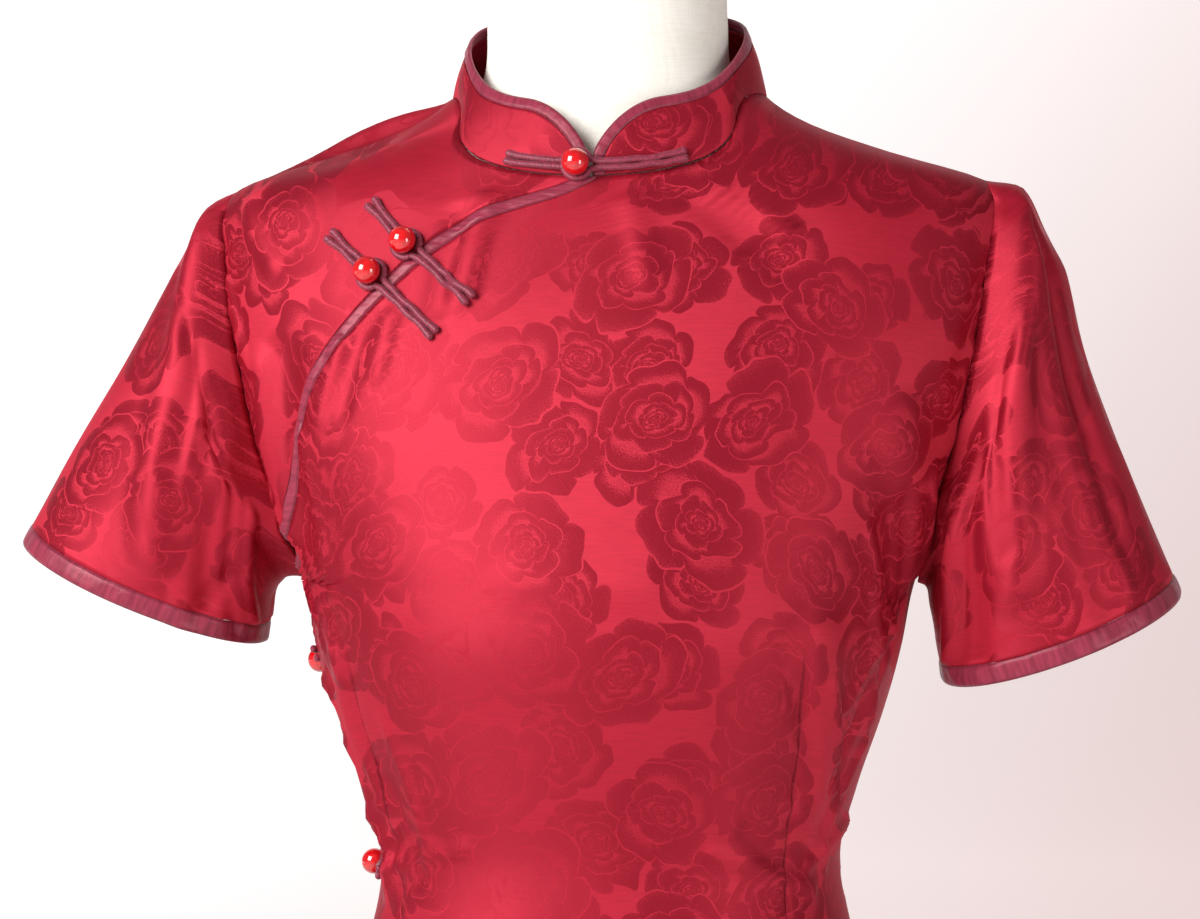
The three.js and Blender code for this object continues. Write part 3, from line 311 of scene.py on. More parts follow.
def loft(tab):
    """A smooth body through a table of cross-sections, as a function of turn and height."""
    columns = {name: curve(tab, name) for name in ("wide", "side", "front", "back", "square")}

    def at(turn, z):
        turn, z = np.broadcast_arrays(np.asarray(turn, float), np.asarray(z, float))
        s, c = sind(turn), cosd(turn)
        n = columns["square"](z)
        reach = (np.abs(s) ** n + np.abs(c) ** n) ** (-1 / n)
        depth = np.where(c > 0, columns["front"](z), columns["back"](z))
        return stack(columns["wide"](z) * reach * s, columns["side"](z) - depth * reach * c, z)

    return at


def normal_of(point, u, v, du, dv):
    """The normal of a surface, from its points a small step away both ways."""
    return unit(np.cross(point(u + du, v) - point(u - du, v), point(u, v + dv) - point(u, v - dv)))


def fold_height(folds, turn, z, scale):
    """How far folds lift the cloth at a place. Each fades out to both sides and past its ends."""
    height = np.zeros(np.broadcast(turn, z).shape)
    for start, end, width, rise in folds:
        near = turn - 360 * np.round((turn - start[0]) / 360)
        px, pz = (near - start[0]) * scale, z - start[1]
        bx, bz = (end[0] - start[0]) * scale, end[1] - start[1]
        t = clamp((px * bx + pz * bz) / (bx * bx + bz * bz))
        away = np.hypot(px - bx * t, pz - bz * t) / (1.6 * width)
        height += np.where(away < 1, rise * (1 - away * away) ** 2, 0)
    return height


def wobble(turn, z, size):
    """Slow unevenness of cloth that is never quite flat."""
    a = np.sin(turn * 0.061 + z * 0.0173 + 1.3) * np.sin(turn * 0.033 - z * 0.0291 + 0.4)
    b = np.sin(turn * 0.147 - z * 0.0437 + 2.1) * np.sin(turn * 0.091 + z * 0.0613)
    return size * (0.7 * a + 0.3 * b)


smooth_body = loft(BODY)
# satin creases in narrow ridges, which stand up more than the hollows between them sink
sharp_creases = [(start, end, width * 0.85, rise * (1.7 if rise > 0 else 1.15))
                 for start, end, width, rise in CREASES]


def body(turn, z):
    """The cloth of the body, with its folds and creases."""
    lift = fold_height(FOLDS, turn, z, PER_DEGREE)
    lift = lift + fold_height(sharp_creases, turn, z, PER_DEGREE) + wobble(turn, z, 0.9)
    return smooth_body(turn, z) + normal_of(smooth_body, turn, z, 0.5, 0.5) * lift[..., None]


def turn_of(turn, z, length):
    """The degrees that a length round the body takes up."""
    return length / np.linalg.norm(smooth_body(turn + 0.5, z) - smooth_body(turn - 0.5, z), axis=-1)


# the height of each row at centre front or back, and half the width between the armholes
FACES = {"front": (curve(FRONT_ROWS, "centre"), curve(ARMHOLE, "front")),
         "back": (curve(BACK_ROWS, "centre"), curve(ARMHOLE, "back"))}


def edge_turn(face, level):
    """Where a row of the front or back ends: at the side seam, or at the armhole."""
    level = np.asarray(level, float)
    half = np.minimum(FACES[face][1](level), smooth_body(90.0, level)[..., 0])
    turn = solve(lambda t: smooth_body(t, level)[..., 0], half, 20.0, 90.0)
    return np.where((level <= ARMPIT) | (level >= SHOULDER_TIP), 90.0, turn)


def row_height(face, level, turn, edge=None):
    """A row starts level at its ends and dips or rises towards centre front or back."""
    level = np.asarray(level, float)
    edge = edge_turn(face, level) if edge is None else edge
    power = 2.0
    if face == "front":
        power = 2 + NECK_SCOOP * smooth((level - SHOULDER_TIP) / (SIDE_NECK - SHOULDER_TIP))
    at_edge = np.abs(cosd(edge)) ** power
    share = (np.abs(cosd(turn)) ** power - at_edge) / (1 - at_edge)
    return level + (FACES[face][0](level) - level) * share


def face_point(face, turn, level, edge=None):
    return body(turn if face == "front" else 180 - turn, row_height(face, level, turn, edge))


placket_table = {
    "z": np.array([-z for _, z in PLACKET], float),
    "turn": np.array([math.copysign(1, x) * float(solve(
        lambda t, z=z: smooth_body(t, z)[..., 0], abs(x), 0.0, 90.0)) for x, z in PLACKET])}
placket_turn = curve(placket_table, "turn")


def beside_placket(distance):
    """The opening's line moved across it along the cloth, as rising levels and their turns."""
    z = np.linspace(PLACKET[0][1], PLACKET[-1][1], 181)
    turn = placket_turn(-z)
    here = smooth_body(turn, z)
    along = unit(smooth_body(placket_turn(-z + 1), z - 1) - smooth_body(placket_turn(-z - 1), z + 1))
    by_turn = smooth_body(turn + 0.5, z) - smooth_body(turn - 0.5, z)
    by_height = smooth_body(turn, z + 0.5) - smooth_body(turn, z - 0.5)
    sideways = np.cross(along, unit(np.cross(by_turn, by_height)))
    sideways *= np.where(sideways[:, :1] < 0, -1, 1)
    level_there = (np.abs(sideways[:, 0]) < 0.02) & (sideways[:, 2] > 0)
    sideways[level_there] *= -1
    move = sideways * distance
    # the move as so many degrees and so much height, from the surface's two slopes
    tt, tz = (by_turn * by_turn).sum(-1), (by_turn * by_height).sum(-1)
    zz = (by_height * by_height).sum(-1)
    mt, mz = (move * by_turn).sum(-1), (move * by_height).sum(-1)
    area = tt * zz - tz * tz
    new_turn = turn + (mt * zz - mz * tz) / area
    new_z = here[:, 2] + (mz * tt - mt * tz) / area
    level = solve(lambda v: row_height("front", v, new_turn), new_z, 355.0, BACK_NECK)
    order = np.argsort(level)
    return level[order], new_turn[order]


def reader(line):
    """The turn of a line at a level."""
    return lambda level: np.interp(level, line[0], line[1])


# ------------------------------------------------------------------ meshes


def mesh_object(name, points, faces, uv, attributes=None):
    """Points in millimetres, faces of one size; uv is for each corner and attributes for each point."""
    mesh = bpy.data.meshes.new(name)
    points = (np.asarray(points, float).reshape(-1, 3) + (CENTRE_X, 0, 0)) * MILLIMETRE
    faces = np.asarray(faces, np.int32)
    mesh.vertices.add(len(points))
    mesh.vertices.foreach_set("co", points.ravel())
    mesh.loops.add(faces.size)
    mesh.loops.foreach_set("vertex_index", faces.ravel())
    mesh.polygons.add(len(faces))
    mesh.polygons.foreach_set("loop_start", np.arange(0, faces.size, faces.shape[1]))
    mesh.polygons.foreach_set("loop_total", np.full(len(faces), faces.shape[1]))
    mesh.polygons.foreach_set("use_smooth", np.full(len(faces), True))
    mesh.update(calc_edges=True)
    layer = mesh.uv_layers.new(name="cloth")
    layer.data.foreach_set("uv", np.asarray(uv, float).ravel())
    for key, values in (attributes or {}).items():
        layer = mesh.attributes.new(key, "FLOAT", "POINT")
        layer.data.foreach_set("value", np.asarray(values, float).ravel())
    mesh.validate()
    made = bpy.data.objects.new(name, mesh)
    bpy.context.scene.collection.objects.link(made)
    return made


def grid_normals(grid, closed):
    """The normals of a grid of points, whose columns may run all round."""
    if closed:
        across = np.roll(grid, -1, 1) - np.roll(grid, 1, 1)
    else:
        across = np.gradient(grid, axis=1)
    return unit(np.cross(across, np.gradient(grid, axis=0)))


def grid_faces(rows, columns, closed, start=0, turned=False):
    """Quads on a grid of points, whose columns may run all round."""
    j, i = np.mgrid[0:rows - 1, 0:columns if closed else columns - 1]
    k = (i + 1) % columns
    quads = [j * columns + i, j * columns + k, (j + 1) * columns + k, (j + 1) * columns + i]
    quads = np.stack(quads, -1).reshape(-1, 4) + start
    return quads[:, ::-1] if turned else quads


def wall_on(grid, half, outward, closed):
    """Points and quads of a wall about a grid of points (rows, columns): both faces and the rims."""
    rows, columns = grid.shape[:2]
    normals = grid_normals(grid, closed)
    sign = 1.0 if (normals * outward).sum() > 0 else -1.0
    half = np.broadcast_to(np.asarray(half, float), (rows, columns))[..., None]
    points = np.concatenate([grid + sign * normals * half, grid - sign * normals * half])
    number = rows * columns
    turned = sign < 0
    faces = [grid_faces(rows, columns, closed, 0, turned),
             grid_faces(rows, columns, closed, number, not turned)]
    rims = [np.arange(columns), np.arange(columns)[::-1] + (rows - 1) * columns]
    if not closed:
        rims += [np.arange(rows)[::-1] * columns, np.arange(rows) * columns + columns - 1]
    for rim in rims:
        a, b = rim, np.roll(rim, -1)
        if not closed:
            a, b = a[:-1], b[:-1]
        quads = np.stack([a, a + number, b + number, b], -1)
        faces.append(quads[:, ::-1] if turned else quads)
    return points, np.concatenate(faces)


def on_both_faces(attributes):
    """Values for both faces of a wall, from those for its middle."""
    return {key: np.concatenate([np.ravel(values)] * 2) for key, values in attributes.items()}


def shell(name, grid, half, outward, uv, attributes):
    """A wall with four edges."""
    points, faces = wall_on(grid, half, outward, False)
    uv = np.concatenate([uv.reshape(-1, 2)] * 2)
    return mesh_object(name, points, faces, uv[faces], on_both_faces(attributes))


def ring_shell(name, grid, half, outward, uv, attributes):
    """A wall all round. Its uv has one column more, for the faces that close the ring."""
    points, faces = wall_on(grid, half, outward, True)
    rows, columns = grid.shape[:2]
    row, column = np.divmod(faces % (rows * columns), columns)
    closes = (column.max(1, keepdims=True) == columns - 1) & (column.min(1, keepdims=True) == 0)
    column = np.where(closes & (column == 0), columns, column)
    return mesh_object(name, points, faces, uv[row, column], on_both_faces(attributes))


def lengths_along(points):
    """How far along a line each of its points is."""
    return np.concatenate([[0], np.cumsum(np.linalg.norm(np.diff(points, axis=0), axis=-1))])


def cloth_uv(grid, across_zero, height):
    """Lengths along the cloth's threads, in metres. Threads run round and up the body, and above the
    bust they lie in upright planes, so that they pass over the shoulder."""
    normals = grid_normals(grid, False)
    step = np.gradient(grid, axis=1)
    around = unit(np.cross([0.0, 0.0, 1.0], normals))
    around *= np.where((around * step).sum(-1, keepdims=True) < 0, -1, 1)
    upper = smooth((grid[..., 2] - BUST_TOP) / 70)[..., None]
    weft = unit(lerp(around, np.array([1.0, 0.0, 0.0]), upper))
    warp = unit(np.cross(normals, weft))
    warp *= np.where(warp[..., 2:] < 0, -1, 1)
    weft = np.cross(warp, normals)
    weft *= np.where((weft * step).sum(-1, keepdims=True) < 0, -1, 1)
    across, up = thread_lengths(grid, weft, warp)
    middle = [np.interp(zero, np.arange(grid.shape[1]), row) for zero, row in zip(across_zero, across)]
    return np.stack([across - np.array(middle)[:, None], up + height], -1) * MILLIMETRE


def sleeve_uv(grid):
    """Lengths on a sleeve cut flat: round it from the shoulder line, and down it, in metres."""
    axis = unit(grid[-1].mean(0) - grid[0].mean(0))
    normals = grid_normals(grid, True)
    warp = unit(axis - (normals @ axis)[..., None] * normals)
    weft = np.cross(warp, normals)
    weft *= np.where((weft * (np.roll(grid, -1, 1) - grid)).sum(-1, keepdims=True) < 0, -1, 1)
    across, down = thread_lengths(grid, weft, warp)
    middle = across[:, grid.shape[1] // 2]
    return np.stack([across - middle[:, None], down - down[-1]], -1) * MILLIMETRE


def thread_lengths(grid, weft, warp):
    """How far each point of a grid is along the weft from the first column, and along the warp from
    the first row."""
    across = (np.diff(grid, axis=1) * (weft[:, 1:] + weft[:, :-1]) / 2).sum(-1)
    along = (np.diff(grid, axis=0) * (warp[1:] + warp[:-1]) / 2).sum(-1)
    across = np.concatenate([np.zeros((len(grid), 1)), np.cumsum(across, 1)], 1)
    along = np.concatenate([np.zeros((1, grid.shape[1])), np.cumsum(along, 0)], 0)
    return across, along


# ------------------------------------------------------------------ panels

inner_line = reader(beside_placket(EDGE_BINDING / 2 + BINDING_CLEAR))
outer_line = reader(beside_placket(-EDGE_BINDING / 2 - BINDING_CLEAR))
binding_left = reader(beside_placket(-EDGE_BINDING / 2))
binding_right = reader(beside_placket(EDGE_BINDING / 2))


def edge_trim(face, level):
    """Where the cloth of a row ends, just short of the seam."""
    edge = edge_turn(face, level)
    seam = np.where((level > ARMPIT) & (level < SHOULDER_TIP), ARM_TRIM, SIDE_TRIM)
    return edge - turn_of(edge if face == "front" else 180 - edge, level, seam)


def skirt_edge(level, inset):
    """The edge of the skirt, which leans away from the side down the slit."""
    share = clamp((SLIT_TOP - level) / (SLIT_TOP - HEM))
    return 90 - turn_of(90.0, level, SIDE_TRIM + SLIT_GAP * share ** 1.2 + inset)


def side_limit(face, level):
    """Where a panel ends at its side: at the seam, and beside the slit where the binding starts."""
    inset = (HEM_BINDING + 0.2) * clamp((SLIT_TOP + HEM_BINDING - level) / HEM_BINDING)
    return np.where(level < SLIT_TOP + HEM_BINDING, skirt_edge(level, inset), edge_trim(face, level))


def opening_limit(level):
    """The main front's other edge: the opening, and below it the right side."""
    above = np.maximum(-edge_trim("front", level), inner_line(level))
    return np.where(level > ARMPIT, above, -side_limit("front", level))


def rows_between(stops, spacing):
    """Levels through the stops, about so far apart."""
    levels = []
    for a, b in zip(stops[:-1], stops[1:]):
        rows = max(1, int(round((b - a) / spacing)))
        levels += list(np.linspace(a, b, rows, endpoint=False))
    return np.array(levels + [stops[-1]])


def dart_distance(face, turn, z):
    """Signed millimetres to the nearest dart of a face, and how deep the dart is there."""
    near, depth = np.full(turn.shape, 99.0), np.zeros(turn.shape)
    for line in DARTS[face]:
        heights = np.array([p[1] for p in line][::-1], float)
        turns = np.array([p[0] for p in line][::-1], float)
        at = np.interp(z, heights, turns)
        inside = (z > heights[0] - 2) & (z < heights[-1] + 2)
        away = np.where(inside, (turn - at) * PER_DEGREE, 99.0)
        closer = np.abs(away) < np.abs(near)
        near = np.where(closer, away, near)
        fade = smooth((z - heights[0]) / 25) * smooth((heights[-1] - z) / 25)
        depth = np.where(closer & inside, fade, depth)
    return near, depth


def panel(name, face, low, high, levels, columns, darts=True):
    """One body panel: turns from low to high at every level."""
    share = np.linspace(0, 1, columns)[None]
    level = levels[:, None]
    edge = edge_turn(face, levels)[:, None]
    turn = lerp(low[:, None], high[:, None], share)
    # beside the armholes the columns keep their places across, so that they stand upright to the shoulder
    upright = np.degrees(np.arcsin(lerp(sind(low)[:, None], sind(high)[:, None], share)))
    keep = 0.85 * smooth((level - ARMPIT - 20) / 60) * (1 - np.abs(2 * share - 1) ** 6)
    turn = lerp(turn, upright, keep)
    grid = face_point(face, turn, level, edge)
    z = grid[..., 2]
    around = turn if face == "front" else 180 - turn
    near, depth = dart_distance(face, around, row_height(face, level, turn, edge))
    if darts:
        outward = normal_of(smooth_body, around, z, 0.5, 0.5)
        sink = -1.1 * np.exp(-(near / 1.6) ** 2) * depth
        pucker = 0.35 * np.exp(-(near / 9) ** 2) * depth * np.sin(z * 0.62 + np.sign(near) * 1.1)
        grid = grid + outward * (sink + pucker)[..., None]
    # small gathers where the cloth meets the armhole seam
    arm = turn_of(edge if face == "front" else 180 - edge, level, 1.0)
    for limit in (-edge, edge):
        away = np.abs(turn - limit) / arm
        seam = np.exp(-(away / 7) ** 2) * smooth((level - ARMPIT) / 20) * smooth((SHOULDER_TIP - level) / 20)
        outward = normal_of(smooth_body, around, z, 0.5, 0.5)
        ripple = 0.3 * np.sin(level * 0.52 + limit) + 0.2 * np.sin(level * 0.31 + 2)
        grid = grid + outward * (seam * ripple)[..., None]
    # lengths are measured from centre front or back, also on a panel that ends short of it
    beyond = lerp(high[:, None], np.maximum(high, 0)[:, None] + 1, np.linspace(0, 1, 25)[None, 1:])
    turns = np.concatenate([turn, beyond], 1)
    measured_grid = np.concatenate([grid, face_point(face, beyond, level, edge)], 1)
    zero = np.array([np.interp(0, row, np.arange(turns.shape[1])) for row in turns])
    uv = cloth_uv(measured_grid, zero, levels[0])[:, :columns]
    outward = stack(sind(around), -cosd(around), 0 * around)
    return shell(name, grid, CLOTH / 2, outward, uv, {"dart": near, "dart_depth": depth})


def first_level(line, width):
    """The lowest level at which a piece beside the opening is so many degrees wide."""
    level = np.arange(ARMPIT + 1, ARMPIT + 60, 0.25)
    return float(level[np.argmax(line(level) + edge_trim("front", level) >= width)])


binding_from = first_level(inner_line, 1.6)
yoke_from = first_level(outer_line, 1.2)
skirt_stops = [HEM + HEM_BINDING + HEM_CLEAR, SLIT_TOP, SLIT_TOP + HEM_BINDING, ARMPIT - 0.4]
tip_stops = [SHOULDER_TIP - drop for drop in (12, 7, 3.5, 1.4, 0)]
front_levels = rows_between(skirt_stops + [binding_from] + tip_stops + [NECK_LEVEL], ROW_SPACING)
front = panel("front", "front", opening_limit(front_levels), side_limit("front", front_levels), front_levels,
              count(150))
yoke_levels = rows_between([yoke_from] + tip_stops + [NECK_LEVEL], ROW_SPACING * 0.8)
yoke = panel("right_yoke", "front", -edge_trim("front", yoke_levels), outer_line(yoke_levels), yoke_levels,
             count(70), darts=False)
back_levels = rows_between(skirt_stops + tip_stops + [NECK_LEVEL], ROW_SPACING)
back_limit = side_limit("back", back_levels)
back = panel("back", "back", -back_limit, back_limit, back_levels, count(140))


def bound_half(share):
    """Half the thickness of a bound edge: it rolls over on both sides."""
    return BINDING / 2 * (1 - 0.75 * np.abs(2 * share - 1) ** 5)


def binding(name, place, along):
    """A bound edge: place(along, share) gives its middle."""
    share = np.linspace(0, 1, BINDING_ACROSS)[None]
    grid = place(along[:, None], share)
    length = lengths_along(grid[:, BINDING_ACROSS // 2])
    pull = 0.16 * np.sin(length * 0.9 + 1.7 * np.sin(length * 0.11)) + 0.12 * np.sin(length * 0.47 + 0.6)
    half = bound_half(share) + pull[:, None] * (1 - (2 * share - 1) ** 2)
    width = np.linalg.norm(grid[:, -1] - grid[:, 0], axis=-1)[:, None]
    uv = np.stack([share * width, np.broadcast_to(length[:, None], grid.shape[:2])], -1) * MILLIMETRE
    edge = np.broadcast_to(np.minimum(share, 1 - share) * width, grid.shape[:2])
    outward = np.stack([grid[..., 0], grid[..., 1] * 1.6, 0 * grid[..., 0]], -1)
    return shell(name, grid, half, outward, uv, {"edge": edge})


def placket_place(level, share):
    """On the opening's binding, which ends at the armhole."""
    left = np.maximum(binding_left(level), 0.2 - edge_trim("front", level))
    turn = lerp(left, binding_right(level), share)
    return face_point("front", turn, level + 0 * share, edge_turn("front", level))


placket = binding("opening_binding", placket_place,
                  rows_between([binding_from, SHOULDER_TIP, NECK_LEVEL - 0.1], 1.6))


def hem_place(face):
    """On the hem's binding: down the right slit for t from 0 to 1, along the hem, and up the left slit."""
    def place(t, share):
        inset = share * HEM_BINDING
        low, top = HEM + inset, SLIT_TOP + HEM_BINDING - inset - HEM_CLEAR
        level = np.where(t < 1, lerp(top, low, t), np.where(t > 2, lerp(low, top, t - 2), low))
        edge = skirt_edge(level, inset)
        corner = skirt_edge(low, inset)
        turn = np.where(t < 1, -edge, np.where(t > 2, edge, lerp(-corner, corner, t - 1)))
        return face_point(face, turn, level, 90.0)
    return place


hem_steps = np.concatenate([np.linspace(0, 1, count(90)), np.linspace(1, 2, count(150))[1:],
                            np.linspace(2, 3, count(90))[1:]])
hem_front = binding("front_hem_binding", hem_place("front"), hem_steps)
hem_back = binding("back_hem_binding", hem_place("back"), hem_steps)

# ------------------------------------------------------------------ sleeves


def sleeve(name, side, rings, folds, creases, cuff_drop):
    """A sleeve and its bound cuff. Turns run round it from the shoulder line over the front to the
    underarm, and along runs from 0 at the armhole to 1 at the cuff."""
    column = {key: curve(rings, key, "along") for key in SLEEVE_COLUMNS.split()[1:]}

    def ring(turn, along):
        """The plain sleeve through its rings, which hangs lower at the front."""
        depth = np.where(sind(turn) > 0, column["front"](along), column["back"](along))
        drop = cuff_drop * np.maximum(0, sind(turn)) * smooth((along - 0.3) / 0.7)
        share = (1 + cosd(turn)) / 2
        x = lerp(column["inner_x"](along), column["outer_x"](along), share)
        z = lerp(column["inner_z"](along), column["outer_z"](along), share)
        return stack(side * (x + 0.4 * drop), 3 - depth * sind(turn), z - 0.92 * drop)

    angles = np.linspace(0, 360, 721)
    level = lerp(ARMPIT, SHOULDER_TIP, (1 + cosd(angles)) / 2)
    is_front = sind(angles) > 0
    edge = np.where(is_front, edge_turn("front", level), edge_turn("back", level))
    seam = body(np.where(is_front, edge, 180 - edge), level)
    seam[:, 0] += 1.8 * ((1 - cosd(angles)) / 2) ** 4  # clear of the side seam at the underarm
    seam[:, 0] *= side

    def armhole(turn):
        """The seam on the body."""
        return np.stack([np.interp(turn % 360, angles, seam[:, k]) for k in range(3)], -1)

    def plain(turn, along):
        """The same, drawn to the armhole at its start."""
        turn, along = np.broadcast_arrays(np.asarray(turn, float), np.asarray(along, float))
        shift = armhole(turn) - ring(turn, 0 * along)
        return ring(turn, along) + shift * (1 - smooth(along / 0.3))[..., None]

    scaled = [((start[0], start[1] * SLEEVE_SCALE), (end[0], end[1] * SLEEVE_SCALE), width, rise)
              for start, end, width, rise in folds + creases]

    def point(turn, along):
        """The cloth of the sleeve, with its folds and creases."""
        turn, along = np.broadcast_arrays(np.asarray(turn, float), np.asarray(along, float))
        lift = fold_height(scaled, turn, along * SLEEVE_SCALE, 1.0)
        lift = lift + 0.5 * np.sin(turn * 0.07 + along * 9) * np.sin(turn * 0.031 - along * 5 + 1)
        lift = lift * smooth(along / 0.15) * smooth((1.12 - along) / 0.2)
        # fullness eased into the armhole seam
        eased = 0.12 * np.sin(np.radians(turn) * 37 + 2 * np.sin(np.radians(turn) * 5))
        lift = lift + eased * np.exp(-(along / 0.04) ** 2)
        normal = normal_of(plain, turn, along, 0.5, 0.005)
        return plain(turn, along) - side * normal * lift[..., None]

    def above_cuff(turn, inset):
        """How far along a sleeve is so many millimetres above the cuff's edge."""
        edge = point(turn, 1.0)
        return solve(lambda a: np.linalg.norm(point(turn, a) - edge, axis=-1), inset + 0 * turn, 1.0, 0.3)

    turns = (np.linspace(0, 360, count(168), endpoint=False) + 180) % 360  # from the underarm
    start = 0.0032 - 0.0024 * cosd(turns)
    end = above_cuff(turns, HEM_BINDING + 0.1)
    grid = point(turns[None], lerp(start[None], end[None], np.linspace(0, 1, count(72))[:, None]))
    uv = sleeve_uv(grid)
    uv = np.concatenate([uv, uv[:, -1:] + (uv[:, -1:] - uv[:, -2:-1])], 1)
    made = ring_shell(name, grid, CLOTH / 2, grid - np.mean(grid, axis=1, keepdims=True), uv, {})

    share = np.linspace(0, 1, BINDING_ACROSS)[:, None]
    back = above_cuff(turns, HEM_BINDING)
    loop = point(turns[None] + 0 * share, lerp(back[None], 1.0, share))
    pull = 0.2 * np.sin(np.arange(len(turns)) * 0.9)[None] * (1 - (2 * share - 1) ** 2)
    length = lengths_along(loop[BINDING_ACROSS // 2])[None] + 0 * share
    uv = np.stack([share * HEM_BINDING + 0 * length, length], -1) * MILLIMETRE
    uv = np.concatenate([uv, uv[:, -1:] + (uv[:, -1:] - uv[:, -2:-1])], 1)
    edge = np.minimum(share, 1 - share) * HEM_BINDING + 0 * length
    outward = loop - np.mean(loop, axis=(0, 1))
    cuff = ring_shell(name + "_binding", loop, bound_half(share) + pull, outward, uv, {"edge": edge})
    return made, cuff


sleeve_right, cuff_right = sleeve(
    "right_sleeve", -1, RIGHT_SLEEVE, SLEEVE_FOLDS["right"], SLEEVE_CREASES["right"], CUFF_DROPS["right"])
sleeve_left, cuff_left = sleeve(
    "left_sleeve", 1, LEFT_SLEEVE, SLEEVE_FOLDS["left"], SLEEVE_CREASES["left"], CUFF_DROPS["left"])

# ------------------------------------------------------------------ collar


def neckline(turn):
    """The seam of the collar on the body."""
    front_z = row_height("front", SIDE_NECK, turn, 90.0)
    back_z = row_height("back", SIDE_NECK, 180 - turn, 90.0)
    return smooth_body(turn, np.where(cosd(turn) > 0, front_z, back_z))


top_height = curve(COLLAR_TOP, "z", "turn")


def collar_top(turn):
    return stack(COLLAR_WIDE * sind(turn), COLLAR_SIDE - COLLAR_DEEP * cosd(turn), top_height(turn))


def even_turns(line):
    """The length of half a line round the neck, and where on it a share of that length falls."""
    turns = np.linspace(0, 180, 721)
    run = lengths_along(line(turns))
    return float(run[-1]), lambda share: np.interp(np.asarray(share) * run[-1], run, turns)


neck_half, base_turn = even_turns(neckline)
_, top_turn = even_turns(collar_top)


def collar_point(length, height):
    """A place on the collar, by its length round from centre front and its height from the seam."""
    length, height = np.broadcast_arrays(np.asarray(length, float), np.asarray(height, float))
    share = np.abs(length) / neck_half
    base, over = neckline(base_turn(share)), top_turn(share)
    up = collar_top(over) - base
    t = height / np.linalg.norm(up, axis=-1)
    out = stack(sind(over), -cosd(over), 0 * over)
    at = base + up * t[..., None] + out * (5 * t * (1 - t))[..., None]
    at[..., 0] *= np.where(length < 0, -1, 1)
    return at


def collar_full(length):
    """The collar's height without its rounded corner."""
    share = np.abs(length) / neck_half
    return np.linalg.norm(collar_top(top_turn(share)) - neckline(base_turn(share)), axis=-1)


def collar_edge(length):
    """The collar's height, with its front corner rounded."""
    t = clamp((length - COLLAR_GAP) / COLLAR_CORNER)
    return lerp(COLLAR_END, collar_full(length), (1 - (1 - t) ** 2) ** 0.7)


def collar_outline():
    """Half the bound edge as (length, height): up the front end, round the corner, and back."""
    corner = COLLAR_GAP + COLLAR_CORNER * np.linspace(0, 1, 40)[1:] ** 2
    rest = np.linspace(COLLAR_GAP + COLLAR_CORNER, neck_half, 60)[1:]
    lengths = np.concatenate([np.full(8, COLLAR_GAP), corner, rest])
    heights = np.concatenate([np.linspace(0.4, COLLAR_END, 8), collar_edge(corner), collar_edge(rest)])
    return np.stack([lengths, heights], -1)


outline = collar_outline()
step = np.gradient(outline, axis=0)
inward = np.stack([step[:, 1], -step[:, 0]], -1)
inward /= np.linalg.norm(inward, axis=1, keepdims=True)
inward[0], inward[-1] = (1, 0), (0, -1)


def inside_edge(inset):
    """Lengths and heights so far inside the outline."""
    at = outline[:, None] + inward[:, None] * inset[..., None]
    return at[..., 0], at[..., 1]


def both_sides(length, height):
    """Points from the wearer's right front round the back to the left front."""
    return np.concatenate([collar_point(-length, height), collar_point(length, height)[::-1][1:]])


def from_neck(grid):
    """Level directions away from the middle of the neck."""
    return np.stack([grid[..., 0], grid[..., 1] - COLLAR_SIDE, 0 * grid[..., 0]], -1)


def collar_edge_binding():
    share = np.linspace(0, 1, BINDING_ACROSS)[None]
    grid = both_sides(*inside_edge(share * EDGE_BINDING + 0 * outline[:, :1]))
    run = lengths_along(grid[:, BINDING_ACROSS // 2])
    uv = np.stack([share * EDGE_BINDING + 0 * run[:, None], run[:, None] + 0 * share], -1) * MILLIMETRE
    pull = 0.14 * np.sin(run * 0.9 + 1.7 * np.sin(run * 0.13))[:, None] * (1 - (2 * share - 1) ** 2)
    edge = np.minimum(share, 1 - share) * EDGE_BINDING + 0 * run[:, None]
    return shell("collar_edge_binding", grid, bound_half(share) + pull, from_neck(grid), uv, {"edge": edge})


def standing_collar():
    """The stiffened wall inside the binding, a little thicker than the cloth of the body."""
    length, limit = inside_edge(np.full((len(outline), 1), EDGE_BINDING + BINDING_CLEAR))
    keep = limit[:, 0] > 2.6
    height = lerp(0.7, limit[keep], np.linspace(0, 1, 22)[None])
    length = length[keep] + 0 * height
    grid = np.swapaxes(both_sides(length, height), 0, 1)
    along = np.concatenate([-length, length[::-1][1:]]).T
    up = np.concatenate([height, height[::-1][1:]]).T
    outward = from_neck(grid)
    ripple = 0.35 * np.sin(along * 0.16 + 0.6 * np.sin(up * 0.2)) * np.sin(up / 42 * math.pi)
    grid = grid + unit(outward) * ripple[..., None]
    uv = np.stack([along, up], -1) * MILLIMETRE
    return shell("standing_collar", grid, CLOTH / 2 + 0.15, outward, uv, {})


collar_binding = collar_edge_binding()
collar = standing_collar()

# ------------------------------------------------------------------ frogs


def front_chart(x, z):
    """The front of the dress at a place across and up."""
    x, z = np.broadcast_arrays(np.asarray(x, float), np.asarray(z, float))
    turn = solve(lambda t: smooth_body(t, z)[..., 0], np.abs(x), 0.0, 89.0)
    return body(np.where(x < 0, -turn, turn), z)


def side_chart(x, z):
    """The dress at a length round from centre front, and up."""
    return body(np.asarray(x) / PER_DEGREE, z)


def outward_on(chart, x, y):
    """The normal of the dress or the collar, away from the wearer."""
    normal = normal_of(chart, x, y, 0.4, 0.4)
    at = chart(x, y)
    facing = normal[..., 0] * at[..., 0] + normal[..., 1] * at[..., 1]
    return normal * np.where(facing < 0, -1, 1)[..., None]


